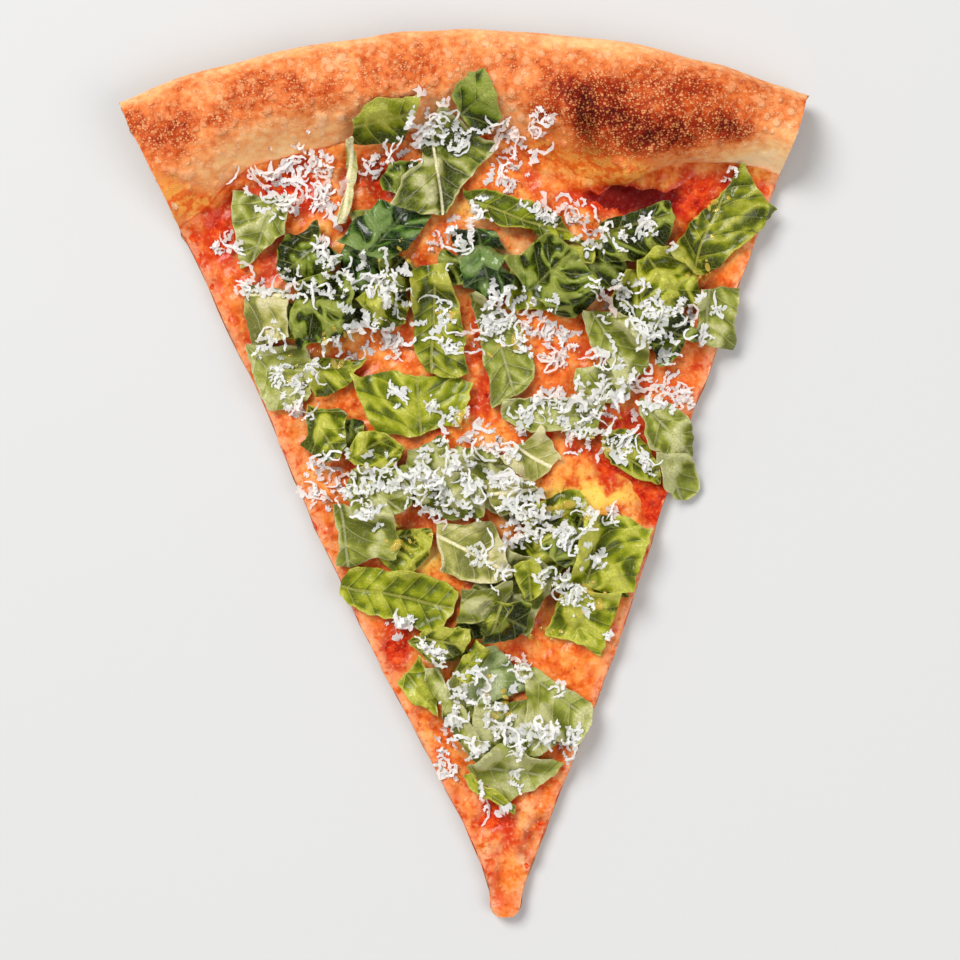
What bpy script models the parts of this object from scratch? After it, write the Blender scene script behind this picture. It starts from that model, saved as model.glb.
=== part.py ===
"""A wide slice of cheese pizza with torn basil: dough, sauce, melted cheese and loose leaf pieces.

Plan places are measured from the slice's point, where the centre of the pie was: +Y runs along the
middle of the slice to the rim and +X to its right. An empty then puts the origin under the middle of
the slice, which lies on z = 0.
"""
import math

import bmesh
import bpy
import numpy as np

MM = 0.001

# The slice: one eighth of a large pie.
HALF_ANGLE = math.radians(22.5)
MIDDLE_RADIUS = 124 * MM         # radius that lies over the origin
TIP_RADIUS = 2 * MM              # where the rounded point starts
TIP_HALF_WIDTH = 4 * MM          # the point is a blunt finger
TIP_FADE = 15 * MM               # how far back the finger runs
TIP_LEAN = 1.6 * MM              # the finger leans to the left
TIP_ROUNDING = 4 * MM            # length over which the point's end is rounded
# Each cut wanders outwards in one long swell: its height, its place from the point, and its spread.
LEFT_SWELL = (2.4 * MM, 98 * MM, 48 * MM)
RIGHT_SWELL = (1.9 * MM, 80 * MM, 35 * MM)

# The rim, by angle from the middle line, in degrees, positive to the right.
EDGE_RADIUS = 246 * MM
EDGE_SLANT = 0.19 * MM           # the outer edge loses this much a degree from left to right
FOOT_RADIUS = 216 * MM           # inner foot of the rim
FOOT_LEFT_LOSS = 9 * MM          # the foot comes forward at the left cut
FOOT_LEFT_START = -15            # ... from this angle
FOOT_LEFT_START_WIDTH = 8        # ... over this many degrees
BUBBLE_ANGLE = 10
BUBBLE_SPREAD = 6.5
BUBBLE_REACH = 16 * MM           # how far the big bubble pushes the foot inwards
RIM_HEIGHT = 18 * MM
BUBBLE_HEIGHT = 4.5 * MM
RIM_RIPPLE = 0.8 * MM
RIM_RIPPLE_RATE = 0.45           # radians of ripple in each degree along the rim
NOSE_HEIGHT = 7 * MM             # height of the rim's outermost line
NOSE_START = 0.72                # share of the rim's width that lies flat on the table

# Layers.
DOUGH_THICKNESS = 3.4 * MM
TIP_THINNING = 0.8 * MM
TIP_THINNING_END = 0.3           # share of the base over which the dough thickens
SAUCE_THICKNESS = 0.8 * MM
CHEESE_THICKNESS = 1.6 * MM
CHEESE_LUMPS = 0.25 * MM
GAP = 0.3 * MM                   # between neighbours that touch
SHARP_ANGLE = math.radians(50)

# The lattice that all the layers share, so that their facets stay parallel.
COLUMNS = 14
BASE_ROWS = (0, 0.008, 0.022, 0.045, 0.09, 0.16, 0.24, 0.32, 0.40, 0.48, 0.56, 0.64, 0.72, 0.80, 0.88, 0.95, 1)
RIM_SHARES = (0.10, 0.22, 0.36, 0.50, 0.64, 0.76, 0.87, 0.95, 1)

# Basil.
LEAF_THICKNESS = 0.6 * MM
LEAF_SAG = 0.35 * MM             # how far a point of a leaf may hang below its neighbours' mean
SETTLING_STEPS = 60
# The height map that the leaves are laid on.
CELL = 0.5 * MM
EDGE_SLACK = 0.1                 # a facet counts as covering cells this share of its size beyond its edge
MAP_CORNER = (-110 * MM, -5 * MM)
MAP_SIZE = (220 * MM, 260 * MM)

# Each piece of basil: name, its four corners in turn, how far each side bows outwards from the corner
# before it, how far its two ends curl up, and its quads along and across, all in millimetres from the
# slice's point. They are listed in the order in which they lie on one another.
BASIL = (
    ("left_sage", ((-66, 205), (-52, 203), (-52, 192), (-66, 184)), (0, 0, 0.5, 0), 1.0, (4, 4)),
    ("left_olive", ((-55, 188), (-43, 196), (-41, 181), (-52, 179)), (1, 0, 1, 1), 1.5, (4, 4)),
    ("dark_wet", ((-37, 189), (-26, 201), (-12, 196), (-25, 184)), (0, 0.5, 1, 1), 0.5, (4, 4)),
    ("rib_back", ((-7, 226), (6, 215), (-9, 196), (-23, 199)), (-0.5, 1, 0.5, -0.5), 0.5, (4, 6)),
    ("rim_top", ((-4, 226), (3, 233), (9, 220), (1, 216)), (1, 0.5, 1, 0.5), 0.5, (4, 4)),
    ("rim_olive", ((-33, 223), (-12, 228), (-18, 215), (-33, 217)), (1, 0, 0, -0.5), 1.0, (5, 3)),
    ("rim_curl", ((-34, 217), (-32, 217), (-36, 195), (-39, 195)), (0, 1, 0, -1), 0.5, (1, 6)),
    ("fold_long", ((-2, 203), (0, 196), (27, 186), (23, 194)), (0, 1, 0, 1.5), 1.0, (3, 6)),
    ("rim_dark", ((34, 190), (53, 197), (52, 183), (34, 181)), (1, 0.5, 1, 0.5), 1.0, (5, 3)),
    ("teal", ((-6, 191), (5, 191), (8, 180), (-5, 176)), (1, 1, 1, 0), 0.5, (3, 4)),
    ("mid_dark", ((8, 182), (20, 188), (33, 174), (17, 168)), (0.5, 1, 1, 1), 1.0, (4, 4)),
    ("crumple_right", ((43, 181), (53, 183), (61, 169), (44, 166)), (1, 1, 1, 1), 1.0, (4, 4)),
    ("right_big", ((52, 183), (73, 205), (83, 192), (60, 174)), (-1, 0, 0.5, 1), 1.0, (6, 4)),
    ("right_sage", ((60, 172), (71, 171), (68, 156), (57, 159)), (0, 0.5, 0.5, 0), 0.5, (3, 4)),
    ("right_low", ((37, 167), (52, 168), (58, 158), (43, 158)), (1, 1, 0.5, 0.5), 0.5, (4, 3)),
    ("sage_run", ((28, 168), (43, 164), (46, 152), (36, 146)), (0, 0.5, 0.5, 0.5), 0.5, (4, 4)),
    ("cream_rib", ((-66, 180), (-52, 177), (-51, 164), (-63, 164)), (0, -0.5, 0.5, 0), 0.5, (4, 4)),
    ("left_low_sage", ((-64, 163), (-49, 161), (-47, 149), (-60, 145)), (0, 1, 1, 0), 0.5, (4, 4)),
    ("left_dark", ((-50, 179), (-35, 180), (-35, 166), (-50, 160)), (1, 1, 1, 1), 1.0, (4, 4)),
    ("left_fold", ((-47, 158), (-31, 157), (-37, 152), (-46, 148)), (0.5, 0, 0, 0), 1.0, (4, 3)),
    ("centre_wide", ((-37, 153), (-3, 149), (-7, 138), (-30, 136)), (1, 0.5, 1, 0.5), 0.5, (6, 3)),
    ("centre_up", ((-18, 180), (-9, 181), (-4, 152), (-17, 153)), (1, 0.5, 0.5, 1.5), 1.0, (3, 6)),
    ("centre_long", ((-3, 174), (9, 167), (14, 150), (2, 143)), (0.5, 1, 1, -0.5), 0.5, (3, 6)),
    ("mid_left", ((-48, 146), (-37, 141), (-40, 130), (-52, 134)), (0.5, 0.5, 0.5, -1), 1.0, (4, 4)),
    ("mid_bright", ((-40, 132), (-31, 138), (-23, 133), (-29, 126)), (1, 0.5, 0.5, 1), 1.0, (3, 3)),
    ("mid_small", ((-20, 132), (-13, 135), (-8, 127), (-17, 123)), (0.5, 0.5, 0.5, 0.5), 0.5, (3, 3)),
    ("mid_right", ((4, 138), (5, 143), (33, 143), (30, 133)), (0, 1, 0, 1), 0.5, (3, 6)),
    ("cream_fork", ((3, 129), (15, 137), (20, 127), (11, 121)), (-0.5, 0.5, 1, 0.5), 0.5, (4, 4)),
    ("edge_dark", ((31, 134), (45, 131), (47, 120), (35, 124)), (1, 0.5, 0.5, 0.5), 0.5, (4, 3)),
    ("edge_sage", ((42, 142), (55, 138), (57, 126), (45, 128)), (1, 1, 0, 0), 0.5, (4, 4)),
    ("edge_hang", ((46, 128), (56, 126), (57, 118), (50, 114)), (0.5, 1, 1, 0.5), 0.5, (3, 4)),
    ("dart", ((-3, 122), (8, 123), (16, 119), (2, 113)), (0.5, 0.5, 0.5, 0.5), 0.5, (4, 3)),
    ("under_shreds", ((-20, 126), (-3, 124), (-1, 113), (-19, 114)), (1, 1, 1, 1), 0.5, (4, 3)),
    ("left_shreds", ((-38, 127), (-25, 126), (-22, 116), (-36, 116)), (1, 1, 1, 1), 0.5, (4, 3)),
    ("low_left_sage", ((-44, 117), (-29, 117), (-26, 103), (-43, 101)), (0, 1, 0.5, -0.5), 0.5, (4, 4)),
    ("wilted", ((-16, 111), (-1, 111), (5, 95), (-15, 98)), (0, 0.5, 1.5, 0), 0.5, (5, 4)),
    ("under_wilted", ((-9, 93), (4, 94), (1, 86), (-10, 84)), (0, 1, 1, 0), 0.5, (4, 3)),
    ("smooth_big", ((-41, 90), (-40, 100), (-9, 92), (-16, 82)), (2, 2.5, 1, 0.5), 0.5, (4, 7)),
    ("small_mid", ((5, 100), (12, 101), (14, 91), (8, 89)), (0.5, 0.5, 0.5, 0.5), 0.5, (2, 3)),
    ("shade_leaf", ((0, 89), (9, 88), (6, 81), (-4, 78)), (0.5, 1, 1, 0.5), 0.5, (3, 3)),
    ("tip_curl", ((0, 89), (4, 88), (-1, 80), (-4, 81)), (0, 0.5, 0.5, 0.5), 0.5, (1, 4)),
    ("right_ribbed", ((26, 113), (44, 107), (37, 89), (20, 92)), (0.5, 0.5, 0.5, 0.5), 0.5, (5, 5)),
    ("right_lip", ((18, 91), (35, 90), (27, 73), (13, 78)), (0, 0.5, -1, 0.5), 0.5, (5, 4)),
    ("low_crumple", ((-21, 82), (-7, 83), (-10, 75), (-20, 75)), (1, 1, 1, 1), 0.5, (4, 3)),
    ("low_bright", ((-27, 68), (-21, 76), (-19, 70), (-17, 58)), (0, 0, 0.5, 0.5), 0.5, (3, 4)),
    ("low_blue", ((-8, 76), (0, 77), (7, 64), (-10, 61)), (0.5, 0.5, 0.5, 0.5), 0.5, (4, 4)),
    ("low_spear", ((-13, 69), (-5, 80), (-2, 76), (-8, 67)), (0.5, 0.5, 0.5, 0.5), 0.5, (4, 2)),
    ("low_wet", ((-8, 61), (11, 61), (14, 49), (-6, 47)), (1, 1, 1, 1), 0.5, (4, 3)),
    ("low_pale", ((6, 72), (25, 60), (20, 47), (7, 56)), (0.5, 0.5, 0, 0.5), 0.5, (5, 4)),
    ("low_stalk", ((-20, 72), (-15, 73), (-3, 49), (-7, 46)), (0, -1.5, 0, 2), 0.5, (2, 6)),
    ("low_end", ((-11, 44), (0, 50), (16, 44), (1, 33)), (0.5, 0.5, 0.5, 0), 0.5, (4, 4)),
    ("low_strip", ((-12, 43), (-10, 44), (2, 33), (1, 31)), (0, 0.5, 0, 0.5), 0.5, (1, 5)),
)

FINISHES = {
    "crust": ((0.62, 0.27, 0.10), 0.55),
    "sauce": ((0.55, 0.06, 0.02), 0.35),
    "cheese": ((0.85, 0.36, 0.13), 0.30),
    "basil": ((0.13, 0.24, 0.04), 0.35),
}


def bell(value, centre, spread):
    """One smooth hump of height 1."""
    return math.exp(-((value - centre) / spread) ** 2)


def rise(share):
    """Smooth step from 0 to 1."""
    share = min(max(share, 0), 1)
    return share * share * (3 - 2 * share)


def half_width(radius):
    """Half the slice's width at a radius: the wedge, and near its point the blunt finger."""
    finger = TIP_HALF_WIDTH * math.exp(-(radius / TIP_FADE) ** 2)
    from_end = min(1, (radius - TIP_RADIUS) / TIP_ROUNDING + 0.12)
    return math.hypot(radius * math.sin(HALF_ANGLE), finger) * math.sqrt(1 - (1 - from_end) ** 2)


def plan(column, row):
    """Plan place of a lattice point: column -1 to 1 across; row 0 to 1 to the rim's foot, 1 to 2 over it."""
    angle = HALF_ANGLE * column
    degrees = math.degrees(angle)
    foot = FOOT_RADIUS - BUBBLE_REACH * bell(degrees, BUBBLE_ANGLE, BUBBLE_SPREAD)
    foot -= FOOT_LEFT_LOSS * rise((FOOT_LEFT_START - degrees) / FOOT_LEFT_START_WIDTH)
    edge = EDGE_RADIUS - EDGE_SLANT * degrees
    if row <= 1:
        radius = TIP_RADIUS + (foot - TIP_RADIUS) * row
    else:
        radius = foot + (edge - foot) * (row - 1)
    swell, middle, spread = LEFT_SWELL if column < 0 else RIGHT_SWELL
    x = math.sin(angle) / math.sin(HALF_ANGLE) * half_width(radius)
    x += swell * bell(radius, middle, spread) * column ** 3 - TIP_LEAN * bell(radius, 0, TIP_FADE)
    return x, radius * math.cos(angle)


def dough_top(column, row):
    """Height of the dough: a thin flat base, then the puffed rim."""
    degrees = math.degrees(HALF_ANGLE) * column
    base = DOUGH_THICKNESS - TIP_THINNING * (1 - rise(row / TIP_THINNING_END))
    if row <= 1:
        return base
    across = 2 * (row - 1)
    crest = RIM_HEIGHT + BUBBLE_HEIGHT * bell(degrees, BUBBLE_ANGLE, BUBBLE_SPREAD)
    crest += RIM_RIPPLE * math.sin(RIM_RIPPLE_RATE * degrees)
    if across < 1:
        return base + (crest - base) * rise(across) ** 0.8
    return NOSE_HEIGHT + (crest - NOSE_HEIGHT) * math.sqrt(max(0, 1 - (across - 1) ** 2.4))


def dough_bottom(column, row):
    """The dough lies flat, and curls up only under the rim's nose."""
    under_nose = max(0, row - 1 - NOSE_START) / (1 - NOSE_START)
    return NOSE_HEIGHT * (1 - math.sqrt(max(0, 1 - under_nose ** 2)))


def sauce_bottom(column, row):
    return dough_top(column, row) + GAP


def sauce_top(column, row):
    return sauce_bottom(column, row) + SAUCE_THICKNESS


def cheese_bottom(column, row):
    return sauce_top(column, row) + GAP


def cheese_top(column, row):
    """The melted cheese lies in low lumps."""
    lumps = CHEESE_LUMPS * math.sin(9 * row + 3 * column) * math.cos(5 * column - 4 * row)
    return cheese_bottom(column, row) + CHEESE_THICKNESS + lumps


def flat_sheet(across, along):
    """A triangulated grid whose points stand at their whole column and row numbers."""
    sheet = bmesh.new()
    bmesh.ops.create_grid(sheet, x_segments=across, y_segments=along, size=0.5)
    for vertex in sheet.verts:
        vertex.co = (round((vertex.co.x + 0.5) * across), round((vertex.co.y + 0.5) * along), 0)
    bmesh.ops.triangulate(sheet, faces=sheet.faces[:], quad_method="FIXED")
    return sheet


def add_solid(name, slot, sheet, lower, upper):
    """Extrude a flat sheet into a closed solid between two surfaces, and add it to the slice."""
    point = sheet.verts.layers.int.new("point")
    for vertex in sheet.verts:
        vertex[point] = vertex.index
    extruded = bmesh.ops.extrude_face_region(sheet, geom=sheet.faces[:])
    for vertex in sheet.verts:
        vertex.co = lower[vertex[point]]
    for vertex in [item for item in extruded["geom"] if isinstance(item, bmesh.types.BMVert)]:
        vertex.co = upper[vertex[point]]
    bmesh.ops.recalc_face_normals(sheet, faces=sheet.faces[:])
    mesh = bpy.data.meshes.new(name)
    sheet.to_mesh(mesh)
    sheet.free()
    mesh.shade_smooth()
    mesh.set_sharp_from_angle(angle=SHARP_ANGLE)

    material = bpy.data.materials.new(name)
    material.use_nodes = True
    shader = material.node_tree.nodes["Principled BSDF"]
    colour, roughness = FINISHES[slot]
    shader.inputs["Base Color"].default_value = (*colour, 1)
    shader.inputs["Roughness"].default_value = roughness
    mesh.materials.append(material)
    part = bpy.data.objects.new(name, mesh)
    part.parent = slice_centre
    slice_parts.objects.link(part)


def add_layer(name, slot, rows, bottom, top):
    """One layer of the slice, over the first rows of the lattice that all the layers share."""
    sheet = flat_sheet(COLUMNS, len(rows) - 1)
    lattice = [(2 * v.co.x / COLUMNS - 1, rows[int(v.co.y)]) for v in sheet.verts]
    places = np.array([plan(*spot) for spot in lattice])
    heights = np.array([top(*spot) for spot in lattice])
    pile.lay(places, heights, sheet_triangles(sheet))
    lower = [(*place, bottom(*spot)) for place, spot in zip(places, lattice)]
    add_solid(name, slot, sheet, lower, np.column_stack((places, heights)))


def sheet_triangles(sheet):
    return np.array([[vertex.index for vertex in face.verts] for face in sheet.faces])


class HeightMap:
    """Heights of everything laid so far, on a fine square grid over the slice."""

    def __init__(self):
        self.corner = np.array(MAP_CORNER)
        self.heights = np.zeros([int(side / CELL) for side in MAP_SIZE])

    def cells(self, triangle):
        """The cells under a triangle of plan places, with each corner's share in them."""
        spots = (triangle - self.corner) / CELL
        low = np.floor(spots.min(axis=0)).astype(int) - 1
        high = np.ceil(spots.max(axis=0)).astype(int) + 2
        ix, iy = [side.ravel() for side in np.meshgrid(*map(np.arange, low, high), indexing="ij")]
        (ax, ay), (bx, by), (cx, cy) = spots
        area = (by - cy) * (ax - cx) + (cx - bx) * (ay - cy)
        first = ((by - cy) * (ix - cx) + (cx - bx) * (iy - cy)) / area
        second = ((cy - ay) * (ix - cx) + (ax - cx) * (iy - cy)) / area
        shares = np.stack((first, second, 1 - first - second), axis=1)
        near = shares.min(axis=1) > -EDGE_SLACK
        return ix[near], iy[near], shares[near]

    def lay(self, places, heights, triangles):
        """Add a facetted surface to the map."""
        for corners in triangles:
            ix, iy, shares = self.cells(places[corners])
            self.heights[ix, iy] = np.maximum(self.heights[ix, iy], shares @ heights[corners])

    def settle(self, places, triangles, neighbours):
        """Heights at which a leaf just clears what lies below it, without a sharp dip anywhere."""
        covers = [(corners, *self.cells(places[corners])) for corners in triangles]
        below = np.concatenate([self.heights[ix, iy] for _, ix, iy, _ in covers])
        heights = np.full(len(places), below[below > 0].min() + GAP)
        for _ in range(SETTLING_STEPS):
            lift = np.zeros(len(places))
            for corners, ix, iy, shares in covers:
                missing = self.heights[ix, iy] + GAP - shares @ heights[corners]
                wanted = (missing[:, None] * shares.clip(0, 1)).max(axis=0)
                np.maximum.at(lift, corners, wanted.clip(0))
            heights += lift
            heights = np.maximum(heights, [heights[near].mean() - LEAF_SAG for near in neighbours])
        return heights


def leaf_plan(corners, bows, u, v):
    """Plan places of a leaf's points: a quad whose sides bow outwards."""
    middle = corners.mean(axis=0)
    weights = ((1 - u) * (1 - v), u * (1 - v), u * v, (1 - u) * v)
    places = sum(weight[:, None] * corner for weight, corner in zip(weights, corners))
    arches = (u * (1 - u) * (1 - v), v * (1 - v) * u, u * (1 - u) * v, v * (1 - v) * (1 - u))
    for side, bow in enumerate(bows):
        start, end = corners[side], corners[(side + 1) % 4]
        outward = np.array((end[1] - start[1], start[0] - end[0]))
        outward *= np.sign(outward @ ((start + end) / 2 - middle)) / np.linalg.norm(outward)
        places += 4 * bow * arches[side][:, None] * outward
    return places


def add_leaf(name, corners, bows, curl, size):
    """Drape one piece of basil on what lies below it."""
    sheet = flat_sheet(*size)
    u, v = np.array([(vert.co.x / size[0], vert.co.y / size[1]) for vert in sheet.verts]).T
    places = leaf_plan(np.array(corners) * MM, np.array(bows) * MM, u, v)
    triangles = sheet_triangles(sheet)
    neighbours = [[edge.other_vert(vert).index for edge in vert.link_edges] for vert in sheet.verts]
    heights = pile.settle(places, triangles, neighbours)
    heights += curl * MM * np.abs(2 * u - 1) ** 3
    pile.lay(places, heights + LEAF_THICKNESS, triangles)
    lower = np.column_stack((places, heights))
    add_solid("basil_" + name, "basil", sheet, lower, lower + (0, 0, LEAF_THICKNESS))


for old in list(bpy.data.objects):
    bpy.data.objects.remove(old)

slice_parts = bpy.data.collections.new("cheese_pizza_slice")
bpy.context.scene.collection.children.link(slice_parts)
slice_centre = bpy.data.objects.new("slice_centre", None)
slice_centre.location.y = -MIDDLE_RADIUS
slice_parts.objects.link(slice_centre)

pile = HeightMap()
rim_rows = tuple(1 + share for share in RIM_SHARES)
add_layer("dough", "crust", BASE_ROWS + rim_rows, dough_bottom, dough_top)
add_layer("sauce", "sauce", BASE_ROWS, sauce_bottom, sauce_top)
add_layer("cheese", "cheese", BASE_ROWS[:-1], cheese_bottom, cheese_top)
for leaf in BASIL:
    add_leaf(*leaf)
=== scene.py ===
"""A wide slice of cheese pizza under torn basil and finely grated hard cheese.

Plan places are given in millimetres from the slice's point, with +Y along its middle to the rim and
+X to its right, and angles in degrees from that middle line, positive to the right.
"""

import math

import bmesh
import bpy
import numpy as np
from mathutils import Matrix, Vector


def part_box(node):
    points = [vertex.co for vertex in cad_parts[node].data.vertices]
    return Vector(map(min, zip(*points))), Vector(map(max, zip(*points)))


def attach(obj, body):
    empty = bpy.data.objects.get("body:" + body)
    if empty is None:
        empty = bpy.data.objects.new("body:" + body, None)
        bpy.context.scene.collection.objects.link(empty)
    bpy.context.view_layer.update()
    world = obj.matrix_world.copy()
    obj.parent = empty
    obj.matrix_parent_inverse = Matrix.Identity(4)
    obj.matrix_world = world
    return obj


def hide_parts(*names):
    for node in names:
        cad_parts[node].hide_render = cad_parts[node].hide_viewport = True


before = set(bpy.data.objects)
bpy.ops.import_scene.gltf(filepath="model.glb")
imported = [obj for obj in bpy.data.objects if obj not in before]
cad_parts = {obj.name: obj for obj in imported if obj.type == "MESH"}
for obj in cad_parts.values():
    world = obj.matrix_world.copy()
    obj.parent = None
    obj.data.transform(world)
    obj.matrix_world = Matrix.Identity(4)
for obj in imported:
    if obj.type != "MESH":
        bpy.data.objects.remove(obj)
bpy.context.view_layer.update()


# ------------------------------------------------------------------------------------------------
# Dough. A stretched yeast dough, thin under the toppings and puffed into a hollow rim, baked on hot
# stone: pale where the sauce kept it moist, golden on the rim, and scorched over its one big bubble.
# The two cuts open its crumb, and the underside is freckled where it touched the stone.
# ------------------------------------------------------------------------------------------------
MM = 0.001
HALF_ANGLE = math.radians(22.5)
TIP_RADIUS = 2 * MM
TIP_HALF_WIDTH = 4 * MM
TIP_FADE = 15 * MM
TIP_LEAN = 1.6 * MM
TIP_ROUNDING = 4 * MM
LEFT_SWELL = (2.4 * MM, 98 * MM, 48 * MM)
RIGHT_SWELL = (1.9 * MM, 80 * MM, 35 * MM)
CUT_WANDER = 0.35 * MM

EDGE_RADIUS = 246 * MM
EDGE_SLANT = 0.19 * MM
FOOT_RADIUS = 216 * MM
FOOT_LEFT_LOSS = 9 * MM
BUBBLE_ANGLE = 10
BUBBLE_SPREAD = 6.5
BUBBLE_REACH = 16 * MM
RIM_HEIGHT = 17.6 * MM
BUBBLE_HEIGHT = 4.0 * MM
NOSE_HEIGHT = 7 * MM
NOSE_START = 0.72
LIP_HEIGHT = 9 * MM              # height at which the bubble hangs furthest over the cheese
LIP_TUCK = 0.8                   # how far round below that lip its skin runs, in radians
LIP_RETREAT = 6.5 * MM             # the hanging part stays this far back from the cheese
DOUGH_THICKNESS = 3.4 * MM
TIP_THINNING = 0.8 * MM
FLARE = 0.8 * MM                 # the crisp underside stands out below each cut

POINT_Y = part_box("dough")[0].y - TIP_RADIUS * math.cos(HALF_ANGLE)


def bell(value, centre, spread):
    """One smooth hump of height 1."""
    return np.exp(-((value - centre) / spread) ** 2)


def rise(share):
    """Smooth step from 0 to 1."""
    share = np.clip(share, 0, 1)
    return share * share * (3 - 2 * share)


def wander(x, y, size, seed):
    """Smooth random hills from -1 to 1, each about one size across."""
    table = np.random.default_rng(seed).uniform(-1, 1, (97, 97))
    x, y = 0.8 * x + 0.6 * y, 0.8 * y - 0.6 * x
    i, j = np.floor(x / size).astype(int), np.floor(y / size).astype(int)
    s, t = rise(x / size - i), rise(y / size - j)
    near = table[i % 97, j % 97] * (1 - s) + table[(i + 1) % 97, j % 97] * s
    far = table[i % 97, (j + 1) % 97] * (1 - s) + table[(i + 1) % 97, (j + 1) % 97] * s
    return near * (1 - t) + far * t


def spots(x, y, places):
    """The sum of soft spots, each (x, y, half width, half depth, amount) in millimetres."""
    total = np.zeros_like(x)
    for spot_x, spot_y, wide, deep, amount in places:
        total += amount * bell(x, spot_x * MM, wide * MM) * bell(y, spot_y * MM, deep * MM)
    return total


def half_width(radius):
    """Half the slice's width at a radius: the wedge, and near its point the blunt finger."""
    finger = TIP_HALF_WIDTH * np.exp(-(radius / TIP_FADE) ** 2)
    from_end = np.clip((radius - TIP_RADIUS) / TIP_ROUNDING + 0.12, 0, 1)
    return np.hypot(radius * math.sin(HALF_ANGLE), finger) * np.sqrt(1 - (1 - from_end) ** 2)


def plan(column, radius):
    """Plan place of a point: column -1 at the left cut to 1 at the right, and its radius."""
    angle = HALF_ANGLE * column
    x = np.sin(angle) / math.sin(HALF_ANGLE) * half_width(radius)
    for side, (swell, middle, spread) in ((-1, LEFT_SWELL), (1, RIGHT_SWELL)):
        x += swell * bell(radius, middle, spread) * np.where(column * side > 0, column ** 3, 0)
    x -= TIP_LEAN * bell(radius, 0, TIP_FADE)
    x += CUT_WANDER * np.abs(column) ** 3 * wander(radius, column, 9 * MM, 3)
    return x, radius * np.cos(angle)


def rim_foot(column):
    """Radius at which the rim starts to rise."""
    degrees = np.degrees(HALF_ANGLE) * column
    foot = FOOT_RADIUS - BUBBLE_REACH * bell(degrees, BUBBLE_ANGLE, BUBBLE_SPREAD)
    foot += LIP_RETREAT * bell(degrees, 14.5, 4)
    return foot - FOOT_LEFT_LOSS * rise((-15 - degrees) / 8)


def bulge(column):
    """1 where the rim hangs over the cheese, 0 where it slopes gently down to it."""
    degrees = np.degrees(HALF_ANGLE) * column
    return rise((degrees - 8.5) / 4) * rise((21 - degrees) / 5)


def base_top(row):
    return DOUGH_THICKNESS - TIP_THINNING * (1 - rise(row / 0.3))


def rim_top(column, share):
    """Radius and height of the rim's skin, from its foot (share 0) over its crest to its nose (1)."""
    degrees = np.degrees(HALF_ANGLE) * column
    foot = rim_foot(column)
    edge = EDGE_RADIUS - EDGE_SLANT * degrees + 0.6 * MM * wander(column, 0 * column, 0.13, 5)
    crest = RIM_HEIGHT + BUBBLE_HEIGHT * bell(degrees, BUBBLE_ANGLE + 2, BUBBLE_SPREAD)
    crest += 1.1 * MM * wander(column, 0 * column, 0.22, 7)
    inner = np.clip(2 * share, 0, 1)
    outer = np.clip(2 * share - 1, 0, 1)
    slope = DOUGH_THICKNESS + (crest - DOUGH_THICKNESS) * rise(inner) ** 0.8
    turn = (math.pi / 2 + LIP_TUCK) * inner - LIP_TUCK
    low = LIP_HEIGHT + (LIP_HEIGHT - DOUGH_THICKNESS) * np.sin(turn) / math.sin(LIP_TUCK)
    high = LIP_HEIGHT + (crest - LIP_HEIGHT) * np.sin(turn)
    middle = (foot + edge) / 2
    round_radius = middle - (middle - foot) * np.cos(turn)
    hang = bulge(column)
    radius = np.where(share < 0.5, (foot + (edge - foot) * share) * (1 - hang) + round_radius * hang,
                      foot + (edge - foot) * share)
    height = slope * (1 - hang) + np.where(turn < 0, low, high) * hang
    nose = NOSE_HEIGHT + (crest - NOSE_HEIGHT) * np.sqrt(np.clip(1 - outer ** 2.4, 0, 1))
    return radius, np.where(share < 0.5, height, nose)


def block(name, across, along, levels):
    """A block of cells one unit each way from the origin, with levels only round its sides."""
    bpy.ops.object.select_all(action="DESELECT")
    bpy.ops.mesh.primitive_grid_add(x_subdivisions=across, y_subdivisions=along, size=1,
                                    location=(0.5, 0.5, 0))
    bpy.ops.object.transform_apply(location=True)
    piece = bpy.context.object
    piece.name = name
    bpy.ops.object.mode_set(mode="EDIT")
    bpy.ops.mesh.select_all(action="SELECT")
    bpy.ops.mesh.extrude_region_move(TRANSFORM_OT_translate={"value": (0, 0, 1)})
    if levels > 1:
        sheet = bmesh.from_edit_mesh(piece.data)
        bpy.ops.mesh.select_all(action="DESELECT")
        for edge in sheet.edges:
            edge.select = abs(edge.verts[0].co.z - edge.verts[1].co.z) > 0.5
        bmesh.update_edit_mesh(piece.data)
        bpy.ops.mesh.subdivide(number_cuts=levels - 1)
    bpy.ops.object.mode_set(mode="OBJECT")
    return piece


def points_of(piece):
    """The places of a piece's points, as three rows of numbers."""
    places = np.empty(len(piece.data.vertices) * 3)
    piece.data.vertices.foreach_get("co", places)
    return places.reshape(-1, 3).T


def put(piece, x, y, z):
    """Move a piece's points to these places, measured from the slice's point."""
    piece.data.vertices.foreach_set("co", np.column_stack((x, y + POINT_Y, z)).ravel())
    piece.data.update()


def mark(piece, **marks):
    """Store a number on each point of a piece, for its finish to read."""
    for name, values in marks.items():
        layer = piece.data.attributes.new(name, "FLOAT", "POINT")
        layer.data.foreach_set("value", np.asarray(values, np.float32))


def close(piece, sharp):
    """Merge a shaped block's doubled points, turn its faces outwards and smooth it."""
    bpy.ops.object.select_all(action="DESELECT")
    piece.select_set(True)
    bpy.context.view_layer.objects.active = piece
    bpy.ops.object.mode_set(mode="EDIT")
    bpy.ops.mesh.select_all(action="SELECT")
    bpy.ops.mesh.remove_doubles(threshold=0.00001)
    bpy.ops.mesh.normals_make_consistent(inside=False)
    bpy.ops.object.mode_set(mode="OBJECT")
    bpy.ops.object.shade_smooth_by_angle(angle=math.radians(sharp))


def finished(piece, finish, slot, *nodes):
    """Give a piece its finish, and let it stand for its CAD nodes."""
    piece.data.materials.clear()
    piece.data.materials.append(finish.material)
    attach(piece, "root")
    if nodes:
        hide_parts(*nodes)


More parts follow.
